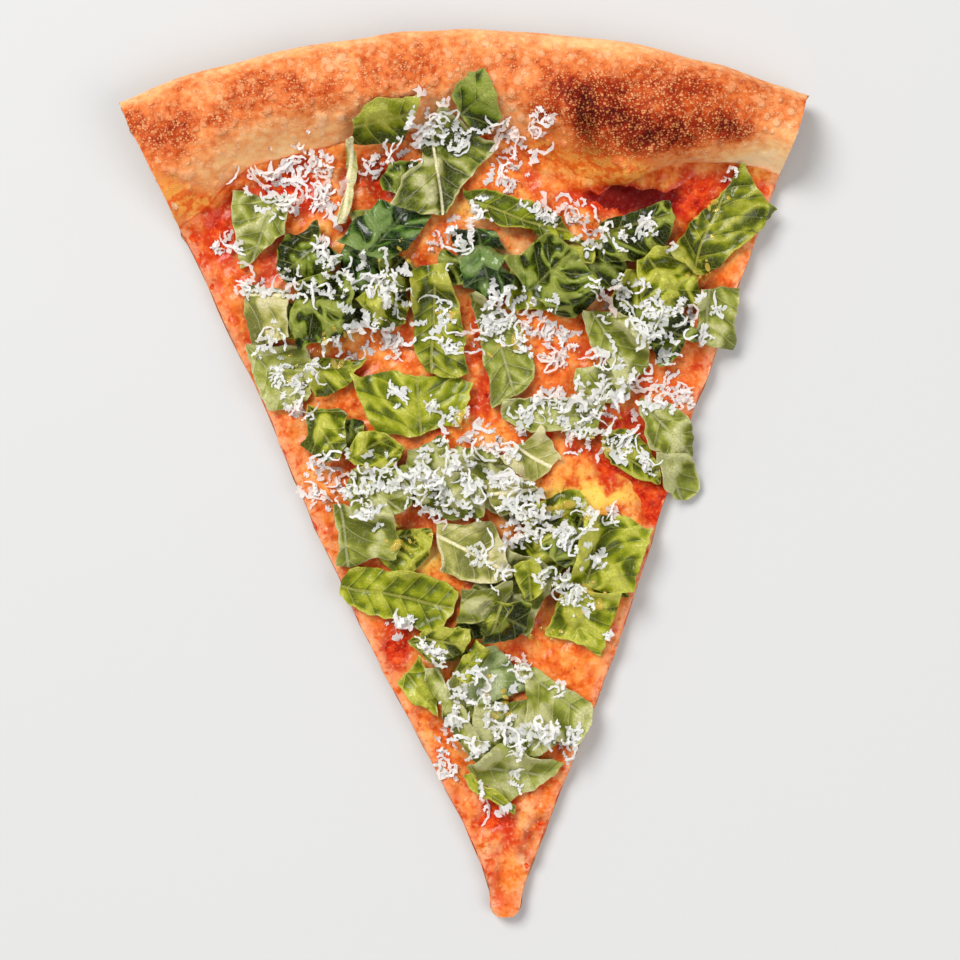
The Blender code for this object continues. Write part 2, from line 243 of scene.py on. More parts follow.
def paint(red, green, blue):
    """A colour as seen on a screen, 0 to 255 each, in the shader's own linear light."""
    shares = [level / 255 for level in (red, green, blue)]
    return (*[s / 12.92 if s <= 0.04045 else ((s + 0.055) / 1.055) ** 2.4 for s in shares], 1)


class Value:
    """A number that changes over a surface. Arithmetic on it adds the shader's own maths."""

    def __init__(self, finish, socket):
        self.finish = finish
        self.socket = socket

    def maths(self, operation, first, second):
        return self.finish.node("ShaderNodeMath", {"operation": operation}, {0: first, 1: second})

    def __add__(self, other):
        return self.maths("ADD", self, other)

    def __radd__(self, other):
        return self.maths("ADD", other, self)

    def __sub__(self, other):
        return self.maths("SUBTRACT", self, other)

    def __rsub__(self, other):
        return self.maths("SUBTRACT", other, self)

    def __mul__(self, other):
        return self.maths("MULTIPLY", self, other)

    def __rmul__(self, other):
        return self.maths("MULTIPLY", other, self)

    def __pow__(self, other):
        return self.maths("POWER", self, other)

    def __abs__(self):
        return self.maths("ABSOLUTE", self, 0)

    def share(self, low, high):
        """0 below low, 1 above high, and smooth between; low may be the larger."""
        return self.finish.node("ShaderNodeMapRange", {"interpolation_type": "SMOOTHSTEP"},
                                {"Value": self, "From Min": low, "From Max": high})


class Finish:
    """One material: a Principled shader, and the nodes that feed it."""

    def __init__(self, name, **constants):
        self.material = bpy.data.materials.new(name)
        self.material.use_nodes = True
        self.tree = self.material.node_tree
        self.shader = self.tree.nodes["Principled BSDF"]
        for socket, value in constants.items():
            self.shader.inputs[socket.replace("_", " ")].default_value = value
        self.place = self.node("ShaderNodeTexCoord", out="Object")

    def node(self, kind, settings=(), sockets=(), out=0):
        """Add a node: its settings first, then the values or links of its sockets."""
        node = self.tree.nodes.new(kind)
        for name, value in dict(settings).items():
            if name == "stops":
                stops = node.color_ramp.elements
                while len(stops) < len(value):
                    stops.new(0.5)
                for stop, (position, colour) in zip(stops, value):
                    stop.position = position
                    stop.color = colour
            else:
                setattr(node, name, value)
        for name, value in dict(sockets).items():
            self.feed(node.inputs[name], value)
        return Value(self, node.outputs[out])

    def feed(self, socket, value):
        if isinstance(value, Value):
            self.tree.links.new(value.socket, socket)
        else:
            socket.default_value = value

    def wear(self, **inputs):
        """Feed the shader's own sockets."""
        for socket, value in inputs.items():
            self.feed(self.shader.inputs[socket.replace("_", " ")], value)

    def marked(self, name, out="Fac"):
        """A number stored on the piece's points."""
        return self.node("ShaderNodeAttribute", {"attribute_name": name}, out=out)

    def cloud(self, size, detail=2.0, where=None):
        """Soft noise from 0 to 1 whose lumps are about one size across."""
        return self.node("ShaderNodeTexNoise", (), {
            "Vector": where or self.place, "Scale": 1 / size, "Detail": detail})

    def cells(self, size, feature="F1", where=None, out="Distance"):
        """Distance from the middle (F1) or the border (DISTANCE_TO_EDGE) of irregular cells."""
        return self.node("ShaderNodeTexVoronoi", {"feature": feature},
                         {"Vector": where or self.place, "Scale": 1 / size}, out)

    def ramp(self, value, *stops):
        return self.node("ShaderNodeValToRGB", {"stops": stops}, {"Fac": value}, "Color")

    def mix(self, share, first, second):
        """One colour going over into another."""
        return self.node("ShaderNodeMix", {"data_type": "RGBA"}, {0: share, 6: first, 7: second}, 2)

    def bump(self, height, depth, under=None):
        """Relief of this depth in metres, from heights 0 to 1."""
        sockets = {"Height": height, "Distance": depth}
        if under is not None:
            sockets["Normal"] = under
        return self.node("ShaderNodeBump", (), sockets)


# Scorched and browned places on the rim.
BROWNED = (
    (-82, 214, 10, 8, 0.10), (-74, 224, 14, 5, 0.16), (-30, 231, 16, 6, 0.12), (0, 236, 20, 4, 0.12),
    (20, 225, 9, 9, 0.15), (42, 216, 17, 12, 0.40), (61, 213, 15, 8, 0.26), (33, 207, 4, 4, 0.30),
    (31, 219, 3, 8, 0.26), (72, 214, 5, 4, 0.34), (30, 226, 8, 5, 0.14), (54, 226, 22, 7, 0.16), (-50, 230, 14, 5, 0.13), (-92, 225, 4, 5, 0.22),
    (-8, 230, 8, 3, 0.06), (20, 214, 5, 8, 0.10),
)
# Paler places on the rim. The two low on the big bubble's foot, at (70, 204) and (57, 204), are painted light: they
# brighten skin that the overhanging bubble shades.
PALE = ((-66, 213, 14, 5, 0.08), (-46, 216, 16, 5, 0.15), (-16, 219, 12, 4, 0.14), (82, 206, 9, 9, 0.22),
        (70, 204, 10, 5, 0.40),
        (57, 204, 8, 4, 0.30), (47, 223, 6, 5, 0.18), (25, 239, 12, 4, 0.12), (42, 236, 10, 4, 0.14),
        (-74, 228, 5, 4, 0.10))
# Greasy orange places along the rim's foot.
GREASED = ((18, 211, 6, 5, 1.0), (28, 206, 7, 5, 1.0), (37, 203, 7, 4, 1.0), (46, 203, 6, 3, 0.9),
           (57, 202, 5, 2.5, 0.5), (-84, 204, 7, 5, 1.1), (-74, 202, 7, 3.5, 1.1), (-61, 206, 8, 3, 0.7))
# The crease that splits the big bubble, as (x, y, half width, half depth, depth) in millimetres.
CREASES = ((30, 212, 2.2, 9, 1.5), (31, 222, 1.6, 7, 0.8), (-83, 221, 1.2, 5, 0.7), (22, 219, 3, 8, 0.5))
BLISTERS = 420

dough = block("dough_baked", 296, 138, 14)
across, along, up = points_of(dough)
column = 2 * across - 1
base_share = np.clip(along / 0.2, 0, 1)
share = np.sin(math.pi / 2 * np.clip((along - 0.2) / 0.8, 0, 1))
on_rim = along > 0.2
rim_radius, rim_height = rim_top(column, share)
start_radius, start_height = rim_top(column, 0 * column)
top_radius = np.where(on_rim, rim_radius, TIP_RADIUS + (start_radius - TIP_RADIUS) * base_share)
foot = rim_foot(column)
flat_radius = np.where(on_rim, foot + (EDGE_RADIUS - EDGE_SLANT * np.degrees(HALF_ANGLE) * column - foot)
                       * share, TIP_RADIUS + (foot - TIP_RADIUS) * base_share)
# The underside ends at the same nose as the top.
flat_radius += (rim_radius - flat_radius) * rise((share - 0.8) / 0.2) * on_rim
under_nose = np.clip(share - NOSE_START, 0, 1) / (1 - NOSE_START)
flat_height = NOSE_HEIGHT * (1 - np.sqrt(np.clip(1 - under_nose ** 2, 0, 1))) * on_rim

top_x, top_y = plan(column, top_radius)
flat_x, flat_y = plan(column, flat_radius)
settled = rise(5 * share) * rise(5 * (1 - share)) * on_rim
top_height = np.where(on_rim, rim_height, base_top(base_share))
swells = 0.9 * wander(top_x, top_y, 17 * MM, 11) + 0.5 * wander(top_x, top_y, 7 * MM, 12)
swells += 0.16 * wander(top_x, top_y, 2.6 * MM, 13)
top_height += settled * MM * (swells - spots(top_x, top_y, CREASES))
draw = np.random.default_rng(21)
blistered = 0 * top_x
for _ in range(BLISTERS):
    where, radius = draw.uniform(-0.98, 0.98), draw.uniform(205, 244) * MM
    blister_x, blister_y = radius * math.sin(HALF_ANGLE * where), radius * math.cos(HALF_ANGLE * where)
    size, height = draw.uniform(0.6, 1.7) * MM, draw.uniform(0.15, 0.55) * MM
    reach = np.hypot(top_x - blister_x, top_y - blister_y) / size
    dome = settled * np.sqrt(np.clip(1 - reach ** 2, 0, 1))
    top_height += height * dome
    blistered = np.maximum(blistered, dome)

x = flat_x + (top_x - flat_x) * up
y = flat_y + (top_y - flat_y) * up
z = flat_height + (top_height - flat_height) * up
cut = np.abs(column) ** 40 * rise(top_height / (4 * MM))
crumb = np.where((np.abs(column) > 0.9999) & (up > 0.01) & (up < 0.99), 1.0, 0.0)
pores = 0.55 * wander(y, z, 3.1 * MM, 31) + 0.35 * wander(y, z, 1.4 * MM, 32)
pores -= 2.2 * rise((wander(y, z, 4.2 * MM, 33) - 0.15) * 3) * rise((top_height / MM - 5) / 6)
ragged = 0.7 + 0.6 * wander(y, column, 2.2 * MM, 35)
x += np.sign(column) * cut * (FLARE * ragged * (1 - up) ** 3 + crumb * MM * pores * rise(top_height / (9 * MM)))
put(dough, x, y, z)

rim_share = np.where(on_rim, share, 0)
bake = 0.34 + 0.10 * rise((rim_share - 0.25) * 4) - 0.16 * rise((rim_share - 0.86) * 9)
bake += spots(top_x, top_y, BROWNED) - spots(top_x, top_y, PALE)
bake += 0.05 * wander(top_x, top_y, 11 * MM, 14)
wet = np.clip(rise((0.10 - rim_share) * 10) * 0.8 + spots(top_x, top_y, GREASED), 0, 1) * on_rim
mark(dough, bake=bake, blistered=blistered, foot=rise((0.16 - rim_share) * 8) * on_rim, crumb=crumb, toasted=crumb * ((1 - up) ** 2 + 0.5 * rise((up - 0.84) * 6)), underside=np.where(up < 0.01, 1.0, 0.0), wet=wet)
close(dough, 60)

crust = Finish("baked_crust", Specular_IOR_Level=0.08, Coat_Roughness=0.15)
bake = crust.marked("bake")
opened = crust.marked("crumb")
freckled = crust.marked("underside")
oiled = crust.marked("wet")
drift = crust.cloud(7 * MM, 4.0)
mottle = crust.cloud(2.0 * MM, 4.0)
tiny = crust.cloud(0.7 * MM, 2.0)
heat = bake + 0.5 * (drift - 0.5) + 0.5 * (mottle - 0.5)
skin = crust.ramp(heat, (0.0, paint(255, 216, 166)), (0.15, paint(252, 194, 130)), (0.28, paint(247, 170, 106)),
                  (0.38, paint(240, 150, 88)), (0.50, paint(220, 116, 56)), (0.62, paint(186, 72, 20)),
                  (0.74, paint(150, 42, 8)), (0.86, paint(108, 16, 2)), (1.0, paint(60, 4, 0)))
jitter = crust.node("ShaderNodeTexNoise", (), {"Vector": crust.place, "Scale": 1 / (0.9 * MM)}, "Color")
uneven = crust.node("ShaderNodeVectorMath", {"operation": "MULTIPLY_ADD"},
                    {0: jitter, 1: (0.9 * MM,) * 3, 2: crust.place})
coarse_dots = 0.8 * crust.cells(1.5 * MM, where=uneven, out="Color") - crust.cells(1.5 * MM, where=uneven)
fine_dots = 0.8 * crust.cells(0.6 * MM, where=uneven, out="Color") - crust.cells(0.6 * MM, where=uneven)
patches = crust.cloud(2.4 * MM, 3.0).share(0.38, 0.60)
patches = patches + (1 - patches) * heat.share(0.45, 0.7) * 0.7
coarse_dots = coarse_dots.share(0.0, 0.3) * heat.share(0.8, 0.45) * patches * 0.65
dots = coarse_dots + (1 - coarse_dots) * fine_dots.share(-0.1, 0.25) * patches
speck = crust.ramp(heat, (0.0, paint(254, 228, 196)), (0.3, paint(254, 214, 172)), (0.55, paint(247, 180, 126)),
                   (0.8, paint(224, 146, 88)), (1.0, paint(192, 108, 56)))
blister = crust.marked("blistered").share(0.35, 0.95) * heat.share(0.1, 0.35) * heat.share(0.72, 0.5)
skin = crust.mix(blister * (0.25 + 0.3 * mottle.share(0.4, 0.6)), skin, speck)
skin = crust.mix(dots * (0.52 + 0.38 * heat.share(0.45, 0.7)) * heat.share(0.1, 0.3), skin, speck)
tongue = crust.mix(mottle.share(0.40, 0.58), paint(238, 104, 26), paint(255, 168, 72))
tongue = crust.mix(crust.marked("foot") * (0.5 + 0.4 * mottle), tongue, paint(220, 74, 14))
skin = crust.mix(oiled * (0.7 + 0.3 * drift.share(0.2, 0.5)), skin, tongue)
# The cut crumb: cream, with painted shade in its pores, and toasted brown towards its top and bottom crust.
pore_shade = crust.cells(2.6 * MM).share(0.34, 0.14) * mottle.share(0.40, 0.55)
inside = crust.mix(drift.share(0.3, 0.7), paint(232, 192, 138), paint(248, 222, 180))
inside = crust.mix(pore_shade, inside, paint(178, 116, 62))
inside = crust.mix(crust.marked("toasted").share(0.2, 0.8), inside, paint(168, 78, 30))
stone = crust.mix(drift.share(0.45, 0.62), paint(226, 168, 108), paint(166, 92, 42))
stone = crust.mix(mottle.share(0.60, 0.74) * drift.share(0.38, 0.55), stone, paint(60, 28, 14))
skin = crust.mix(opened, skin, inside)
skin = crust.mix(freckled, skin, stone)
crust.wear(Base_Color=skin, Roughness=0.5 - 0.12 * dots - 0.2 * oiled + 0.1 * tiny, Coat_Weight=oiled * 0.5)
relief = crust.bump(dots * 0.35 * heat.share(0.16, 0.42) + 0.35 * mottle + 0.15 * tiny + 0.5 * blister, 0.4 * MM)
crust.wear(Normal=relief)
finished(dough, crust, "crust", "dough")


# ------------------------------------------------------------------------------------------------
# Tomato sauce. Crushed tomato ladled on before the cheese and cooked down to a thick wet paste. It
# shows where the cheese drew back, along the rim's foot and at the cuts.
# ------------------------------------------------------------------------------------------------
SAUCE_DEPTH = 1.0 * MM
# Bare places in the cheese, as (x, y, half width, half depth, amount) in millimetres.
BARE = (
    (45, 118, 6, 6, 1.1), (47, 112, 5, 5, 0.9), (33, 125, 6, 4, 0.8), (-28, 78, 4, 7, 1.1), (61, 153, 3, 6, 0.8),
    (58, 147, 3, 4, 0.6), (-71, 194, 5, 7, 1.2), (-78, 190, 4, 9, 0.7), (-66, 202, 5, 4, 0.9), (-34, 209, 6, 4, 0.6),
    (-26, 205, 6, 4, 0.5), (-50, 204, 9, 5, 1.1), (28, 200, 7, 3, 0.7), (45, 198, 12, 4, 1.2), (61, 194, 6, 7, 1.2),
    (40, 137, 5, 5, 0.9), (46, 130, 4, 4, 0.8), (2, 155, 2, 7, 0.5), (0, 146, 2, 5, 0.4), (-2, 33, 5, 2, 0.7),
    (1, 26, 3, 4, 0.6), (-4, 145, 2, 4, 0.5), (18, 157, 5, 3, 0.5), (-84, 178, 4, 7, 0.5), (5, 14, 1.5, 7, 0.8),
    (24, 91, 5, 6, 0.5), (15, 60, 4, 5, 0.4), (-60, 190, 5, 8, 0.5), (-5, 28, 4, 3, 1.2),
)


def layer(name, across, along, levels, reach):
    """A layer that follows the dough to reach shares up the rim, and the marks of its points."""
    piece = block(name, across, along, levels)
    across, along, up = points_of(piece)
    column = 2 * across - 1
    foot_share = reach * rise((along - 0.94) / 0.06)
    start, _ = rim_top(column, 0 * column)
    radius, slope = rim_top(column, foot_share)
    radius = np.where(along < 0.94, TIP_RADIUS + (start - TIP_RADIUS) * along / 0.94, radius)
    ground = np.where(along < 0.94, base_top(along / 0.94), slope)
    x, y = plan(column, radius)
    return piece, column, along, up, x, y, ground


def sauce_height(x, y, ground):
    lumps = 0.30 * wander(x, y, 4.6 * MM, 41) + 0.28 * wander(x, y, 2.1 * MM, 42)
    return ground + SAUCE_DEPTH + MM * lumps


sauce, column, along, up, x, y, ground = layer("tomato_sauce", 124, 184, 3, 0.09)
top = sauce_height(x, y, ground)
top -= 1.4 * MM * rise((along - 0.965) / 0.035)
top -= 0.5 * MM * np.abs(column) ** 24
z = ground - 0.5 * MM + (top - ground + 0.5 * MM) * up
x += np.sign(column) * np.abs(column) ** 24 * (0.25 * MM - 0.3 * MM * up)
put(sauce, x, y, z)
# Deeper red where the sauce pooled. In the pocket under the big bubble this is also painted shadow from the bubble's
# overhang. One more dark patch lies near the middle of the slice.
mark(sauce, dark=spots(x, y, ((40, 201, 9, 6, 1.6), (51, 199, 6, 5, 1.2), (40, 137, 6, 5, 0.5))))
close(sauce, 60)

tomato = Finish("cooked_tomato", Subsurface_Weight=0.06, Subsurface_Scale=0.001, Specular_IOR_Level=0.08,
                Subsurface_Radius=(1.0, 0.25, 0.1), Coat_Weight=0.1, Coat_Roughness=0.1)
pulp = tomato.cloud(2.6 * MM, 4.0)
seeds = tomato.cells(2.1 * MM)
red = tomato.ramp(pulp, (0.25, paint(140, 12, 0)), (0.45, paint(196, 40, 6)), (0.6, paint(226, 76, 20)),
                  (0.78, paint(240, 122, 56)))
grain = tomato.cloud(0.8 * MM, 4.0)
red = tomato.mix(grain.share(0.54, 0.70) * 0.4, red, paint(246, 140, 84))
# Darker red in the marked places: deep sauce, and painted shadow under the big bubble.
red = tomato.mix(tomato.marked("dark").share(0.15, 0.8) * 0.95, red, paint(104, 0, 0))
tomato.wear(Base_Color=red, Roughness=0.22 + 0.25 * pulp)
tomato.wear(Normal=tomato.bump(pulp + 0.4 * seeds, 0.9 * MM))
finished(sauce, tomato, "sauce", "sauce")


# ------------------------------------------------------------------------------------------------
# Melted cheese. Shredded mozzarella that ran together in the oven, stained orange by the tomato and
# its own oil, with yellow strands where it stayed thick, and thin or missing over the wet sauce.
# ------------------------------------------------------------------------------------------------
YELLOW = ((28, 117, 12, 5, 1.3), (20, 116, 5, 3, 0.9), (17, 182, 5, 4, 0.5), (21, 181, 4, 4, 0.5), (-17, 101, 6, 4, 0.9),
          (26, 88, 12, 8, 0.5), (-1, 197, 5, 3, 0.6), (-40, 191, 4, 6, 0.5), (14, 136, 10, 3, 0.3))
PEACH = ((16, 184, 9, 6, 0.9), (-52, 92, 6, 60, 0.4), (4, 17, 1.6, 3, 1.2), (-6, 22, 2, 7, 0.7), (6, 31, 2, 7, 0.7), (-2, 20, 1.6, 4, 0.4),
         (-2, 192, 8, 4, 0.5), (-8, 38, 4, 5, 0.6))
REDDER = ((-4, 29, 4, 4, 1.5), (-1, 6, 4, 4, 0.6), (-8, 36, 3, 5, 0.5), (9, 34, 4, 6, 0.4), (0, 24, 1.8, 5, 1.0), (-4, 12, 1.8, 7, 0.8), (3, 22, 1.4, 4, 0.8), (24, 88, 16, 12, 0.3),
          (18, 150, 10, 10, 0.35), (-70, 190, 14, 20, 0.6), (55, 150, 8, 14, 0.5), (62, 196, 8, 8, 0.5),
          (-30, 84, 5, 10, 0.6), (36, 90, 4, 14, 0.7), (-20, 205, 14, 8, 0.6))
SCORCHED = ((-28, 208, 6, 5, 1.0), (-24, 212, 4, 3, 0.8), (-36, 210, 3, 4, 0.6), (-66, 200, 3, 3, 0.4), (5, 151, 2, 6, 0.4))
# Where the thin point buckled, as (x, y, half width, half depth, depth) in millimetres.
FOLDS = ((3.5, 20, 1.4, 2.5, 0.5), (6, 24, 1.6, 2.5, 0.7), (9, 27.5, 2, 2, 0.7), (-3, 14, 1, 4, 0.4))
BUBBLES = 70

cheese, column, along, up, x, y, ground = layer("melted_cheese", 160, 280, 3, 0.12)
spread = 0.75 + 0.5 * wander(x, y, 9 * MM, 51) + 0.35 * wander(x, y, 3.6 * MM, 52) - spots(x, y, BARE)
lumps = 0.22 * wander(x, y, 5 * MM, 53) + 0.16 * wander(x, y, 1.9 * MM, 54)
top = sauce_height(x, y, ground) + MM * (1.15 * np.clip(spread, -0.8, 1.1) + lumps)
draw = np.random.default_rng(55)
for _ in range(BUBBLES):
    radius, where = draw.uniform(15, 205) * MM, draw.uniform(-0.95, 0.95)
    bubble_x, bubble_y = radius * math.sin(HALF_ANGLE * where), radius * math.cos(HALF_ANGLE * where)
    size = draw.uniform(1.0, 2.4) * MM
    reach = np.hypot(x - bubble_x, y - bubble_y) / size
    top += draw.uniform(0.15, 0.4) * MM * np.sqrt(np.clip(1 - reach ** 2, 0, 1))
top -= (1.2 + 0.8 * wander(x, y, 5 * MM, 58)) * MM * rise((along - 0.955) / 0.045)
top -= MM * (0.7 + 0.4 * wander(y, column, 5 * MM, 56)) * np.abs(column) ** 30
top -= MM * spots(x, y, FOLDS)
z = ground + 0.3 * MM + (top - ground - 0.3 * MM) * up
x += np.sign(column) * np.abs(column) ** 30 * MM * (0.1 - 0.25 * up + 0.25 * wander(y, column, 3 * MM, 57))
put(cheese, x, y, z)
# The point's folds are darkened with the scorched places: painted shade in their creases.
mark(cheese, scorched=spots(x, y, SCORCHED) + 1.1 * spots(x, y, FOLDS), yellow=spots(x, y, YELLOW), peach=spots(x, y, PEACH), redder=spots(x, y, REDDER),
     thin=1 - np.clip(spread, 0, 1), cutting=rise(1.1 - (1 - np.abs(column)) * (0.414 * y + 3 * MM) / (3.2 * MM)))
close(cheese, 60)

melt = Finish("melted_cheese", Subsurface_Weight=0.15, Subsurface_Scale=0.002,
              Subsurface_Radius=(1.0, 0.45, 0.2), Coat_Weight=0.25, Coat_Roughness=0.12,
              Specular_IOR_Level=0.08)
drift = melt.cloud(6 * MM, 3.0)
fibre = melt.cloud(2.6 * MM, 2.0)
streaks = melt.node("ShaderNodeMapping", (), {"Vector": melt.place, "Scale": (3.2, 1, 1)})
streaks = melt.cloud(7 * MM, 4.0, where=streaks)
colour = melt.ramp(0.5 * drift + 0.25 * fibre + 0.25 * streaks, (0.36, paint(200, 58, 4)), (0.44, paint(222, 96, 22)),
                   (0.52, paint(241, 136, 54)), (0.60, paint(249, 168, 90)), (0.70, paint(253, 200, 140)))
colour = melt.mix(melt.marked("redder") * drift.share(0.25, 0.65), colour, paint(216, 50, 8))
colour = melt.mix(melt.marked("thin").share(0.35, 0.9) * 0.85, colour, paint(200, 42, 6))
colour = melt.mix(melt.marked("peach") * fibre.share(0.35, 0.6), colour, paint(250, 186, 130))
colour = melt.mix(melt.marked("yellow") * drift.share(0.35, 0.55), colour, paint(252, 208, 92))
colour = melt.mix(melt.marked("cutting") * 0.6 * fibre.share(0.36, 0.52), colour, paint(246, 166, 122))
film = melt.cloud(2.0 * MM, 3.0)
grain = melt.cloud(1.0 * MM, 5.0)
colour = melt.mix(film.share(0.44, 0.28) * 0.5, colour, paint(186, 46, 2))
# Browner where scorched, and painted shade in the folds of the point.
colour = melt.mix(melt.marked("scorched") * fibre.share(0.30, 0.50), colour, paint(136, 38, 8))
colour = melt.mix(grain.share(0.52, 0.72) * 0.3, colour, paint(255, 204, 150))
colour = melt.mix(grain.share(0.42, 0.28) * 0.4, colour, paint(190, 56, 6))
melt.wear(Base_Color=colour, Roughness=0.24 + 0.25 * fibre)
melt.wear(Normal=melt.bump(0.8 * drift + 0.7 * fibre + 0.3 * film + 0.25 * grain, 0.5 * MM))
finished(cheese, melt, "cheese", "cheese")


# ------------------------------------------------------------------------------------------------
# Basil. Fresh leaves torn and cut into pieces and strewn on the hot cheese, where they sag over one
# another and wilt. Each piece keeps its share of the leaf's rib and side veins, with the blade puffed
# up between them; some lie with their pale underside up.
# ------------------------------------------------------------------------------------------------
from mathutils import Vector
from mathutils.bvhtree import BVHTree

CELL = 0.4 * MM
PILE_CORNER = (-110 * MM, -6 * MM)
PILE_SIZE = (220 * MM, 262 * MM)


class Pile:
    """Heights of all that has been laid so far, on a fine square grid over the slice."""

    def __init__(self, *pieces):
        self.heights = np.zeros([int(side / CELL) for side in PILE_SIZE])
        ground = bpy.context.evaluated_depsgraph_get()
        trees = [BVHTree.FromObject(piece, ground) for piece in pieces]
        down = Vector((0, 0, -1))
        for i in range(self.heights.shape[0]):
            x = PILE_CORNER[0] + i * CELL
            for j in range(self.heights.shape[1]):
                y = PILE_CORNER[1] + j * CELL
                if abs(x) > 0.43 * y + 0.012:
                    continue
                start = Vector((x, y + POINT_Y, 0.06))
                for tree in trees:
                    hit = tree.ray_cast(start, down)[0]
                    if hit is not None and hit.z > self.heights[i, j]:
                        self.heights[i, j] = hit.z

    def cell(self, x, y):
        i = np.rint((x - PILE_CORNER[0]) / CELL).astype(int)
        j = np.rint((y - PILE_CORNER[1]) / CELL).astype(int)
        return i.clip(1, self.heights.shape[0] - 2), j.clip(1, self.heights.shape[1] - 2)

    def under(self, x, y):
        """The greatest height in the cell at a place and the eight round it."""
        i, j = self.cell(x, y)
        return np.max([self.heights[i + a, j + b] for a in (-1, 0, 1) for b in (-1, 0, 1)], axis=0)

    def lay(self, x, y, z):
        np.maximum.at(self.heights, self.cell(x, y), z)


def halved(sheet):
    """A sheet of numbers with one more between each two."""
    sheet = np.repeat(sheet, 2, axis=0)
    sheet[1:-1:2] = (sheet[1:-1:2] + sheet[2::2]) / 2
    sheet = np.repeat(sheet[:-1], 2, axis=1)
    sheet[:, 1:-1:2] = (sheet[:, 1:-1:2] + sheet[:, 2::2]) / 2
    return sheet[:, :-1]


def leaf_plan(corners, bows, u, v):
    """Plan places on a torn piece: four corners whose sides bow outwards."""
    corners = np.array(corners) * MM
    middle = corners.mean(axis=0)
    weights = ((1 - u) * (1 - v), u * (1 - v), u * v, (1 - u) * v)
    places = sum(weight[..., None] * corner for weight, corner in zip(weights, corners))
    arches = (u * (1 - u) * (1 - v), v * (1 - v) * u, u * (1 - u) * v, v * (1 - v) * (1 - u))
    for side, bow in enumerate(bows):
        start, end = corners[side], corners[(side + 1) % 4]
        outward = np.array((end[1] - start[1], start[0] - end[0]))
        outward *= np.sign(outward @ ((start + end) / 2 - middle)) / np.linalg.norm(outward)
        places += 4 * bow * MM * arches[side][..., None] * outward
    return places[..., 0], places[..., 1]


def basil_finish(name, blade, shadow, vein, roughness, coat, rib_share):
    """The skin of one kind of leaf: painted shade in its hollows, painted light on its swells, paler on its rib and
    its veins.
    """
    finish = Finish(name, Coat_Weight=coat, Coat_Roughness=0.16, Specular_IOR_Level=0.1)
    along = finish.marked("along_rib")
    aside = abs(finish.marked("across_rib"))
    blotch = finish.cloud(7 * MM, 2.0)
    fine = finish.cloud(1.3 * MM, 4.0)
    phase = (along - aside * 0.85 + aside * aside * 0.02) * (1 / VEIN_SPACING)
    between = finish.node("ShaderNodeMath", {"operation": "FRACT"}, {0: phase})
    veins = abs(between * 2 - 1).share(0.88, 0.99) * aside.share(16, 3)
    rib = aside.share(0.6, 0.2)
    net = finish.cells(1.15 * MM, "DISTANCE_TO_EDGE").share(0.10, 0.02)
    light = tuple(0.5 * b + 0.5 * v for b, v in zip(blade, vein))
    dark = tuple((0.42 if coat > 0.16 else 0.6) * level for level in shadow[:3]) + (1,)
    # Painted light and shade: the tone rises on the leaf's swells and rises and falls in its hollows. Each puff
    # between side veins runs from dark just past its vein to light towards the next, as if lit from one side. The
    # blotches, the fine grain and each piece's paleness are the leaf's own tone.
    tone = 0.5 + 0.65 * (blotch - 0.5) + 0.36 * finish.marked("swell") + 0.3 * finish.marked("relief")
    tone = tone + 0.3 * (between - 0.5) + finish.marked("paler") + 0.2 * (fine - 0.5)
    colour = finish.ramp(tone, (0.04, dark), (0.3, shadow), (0.52, blade), (0.86, light))
    colour = finish.mix(net * 0.12, colour, vein)
    colour = finish.mix(veins * 0.28, colour, vein)
    colour = finish.mix(rib * rib_share, colour, vein)
    # A painted highlight along each torn edge.
    colour = finish.mix(finish.marked("rim") * blotch.share(0.35, 0.6) * 0.3, colour, vein)
    finish.wear(Base_Color=colour, Roughness=roughness + 0.25 * (fine - 0.5) + 0.1 * net)
    finish.wear(Normal=finish.bump(0.9 * fine - 0.4 * net + 0.2 * veins, 0.3 * MM))
    return finish


VEIN_SPACING = 5.0               # millimetres between side veins
# Each look: blade, shade and vein colours, roughness, coat, and how pale its rib is. The greyer sage and blue looks
# are partly the leaves' own colour and partly a painted sheen of the sky on waxy leaves.
LOOKS = {
    "bright": ((146, 153, 12), (98, 112, 0), (224, 220, 104), 0.40, 0.3, 0.3),
    "olive": ((130, 136, 8), (78, 90, 0), (214, 210, 100), 0.38, 0.35, 0.4),
    "sage": ((160, 164, 74), (126, 134, 36), (220, 216, 166), 0.44, 0.15, 0.35),
    "ribbed": ((140, 146, 48), (82, 94, 4), (236, 228, 184), 0.42, 0.2, 1.0),
    "pale": ((178, 173, 96), (142, 144, 60), (246, 236, 194), 0.50, 0.1, 0.9),
    "deep": ((100, 119, 4), (48, 62, 0), (184, 188, 98), 0.36, 0.3, 0.3),
    "wet": ((66, 104, 10), (20, 48, 0), (156, 176, 108), 0.26, 0.6, 0.25),
    "blue": ((150, 164, 100), (116, 134, 66), (208, 214, 172), 0.44, 0.1, 0.35),
}
LOOKS = {name: basil_finish("basil_" + name, paint(*a), paint(*b), paint(*c), *rest)
         for name, (a, b, c, *rest) in LOOKS.items()}

LEAF_THICKNESS = 0.3 * MM
LEAF_CELL = 0.42 * MM
CLEARANCE = 0.25 * MM
SETTLING = 70

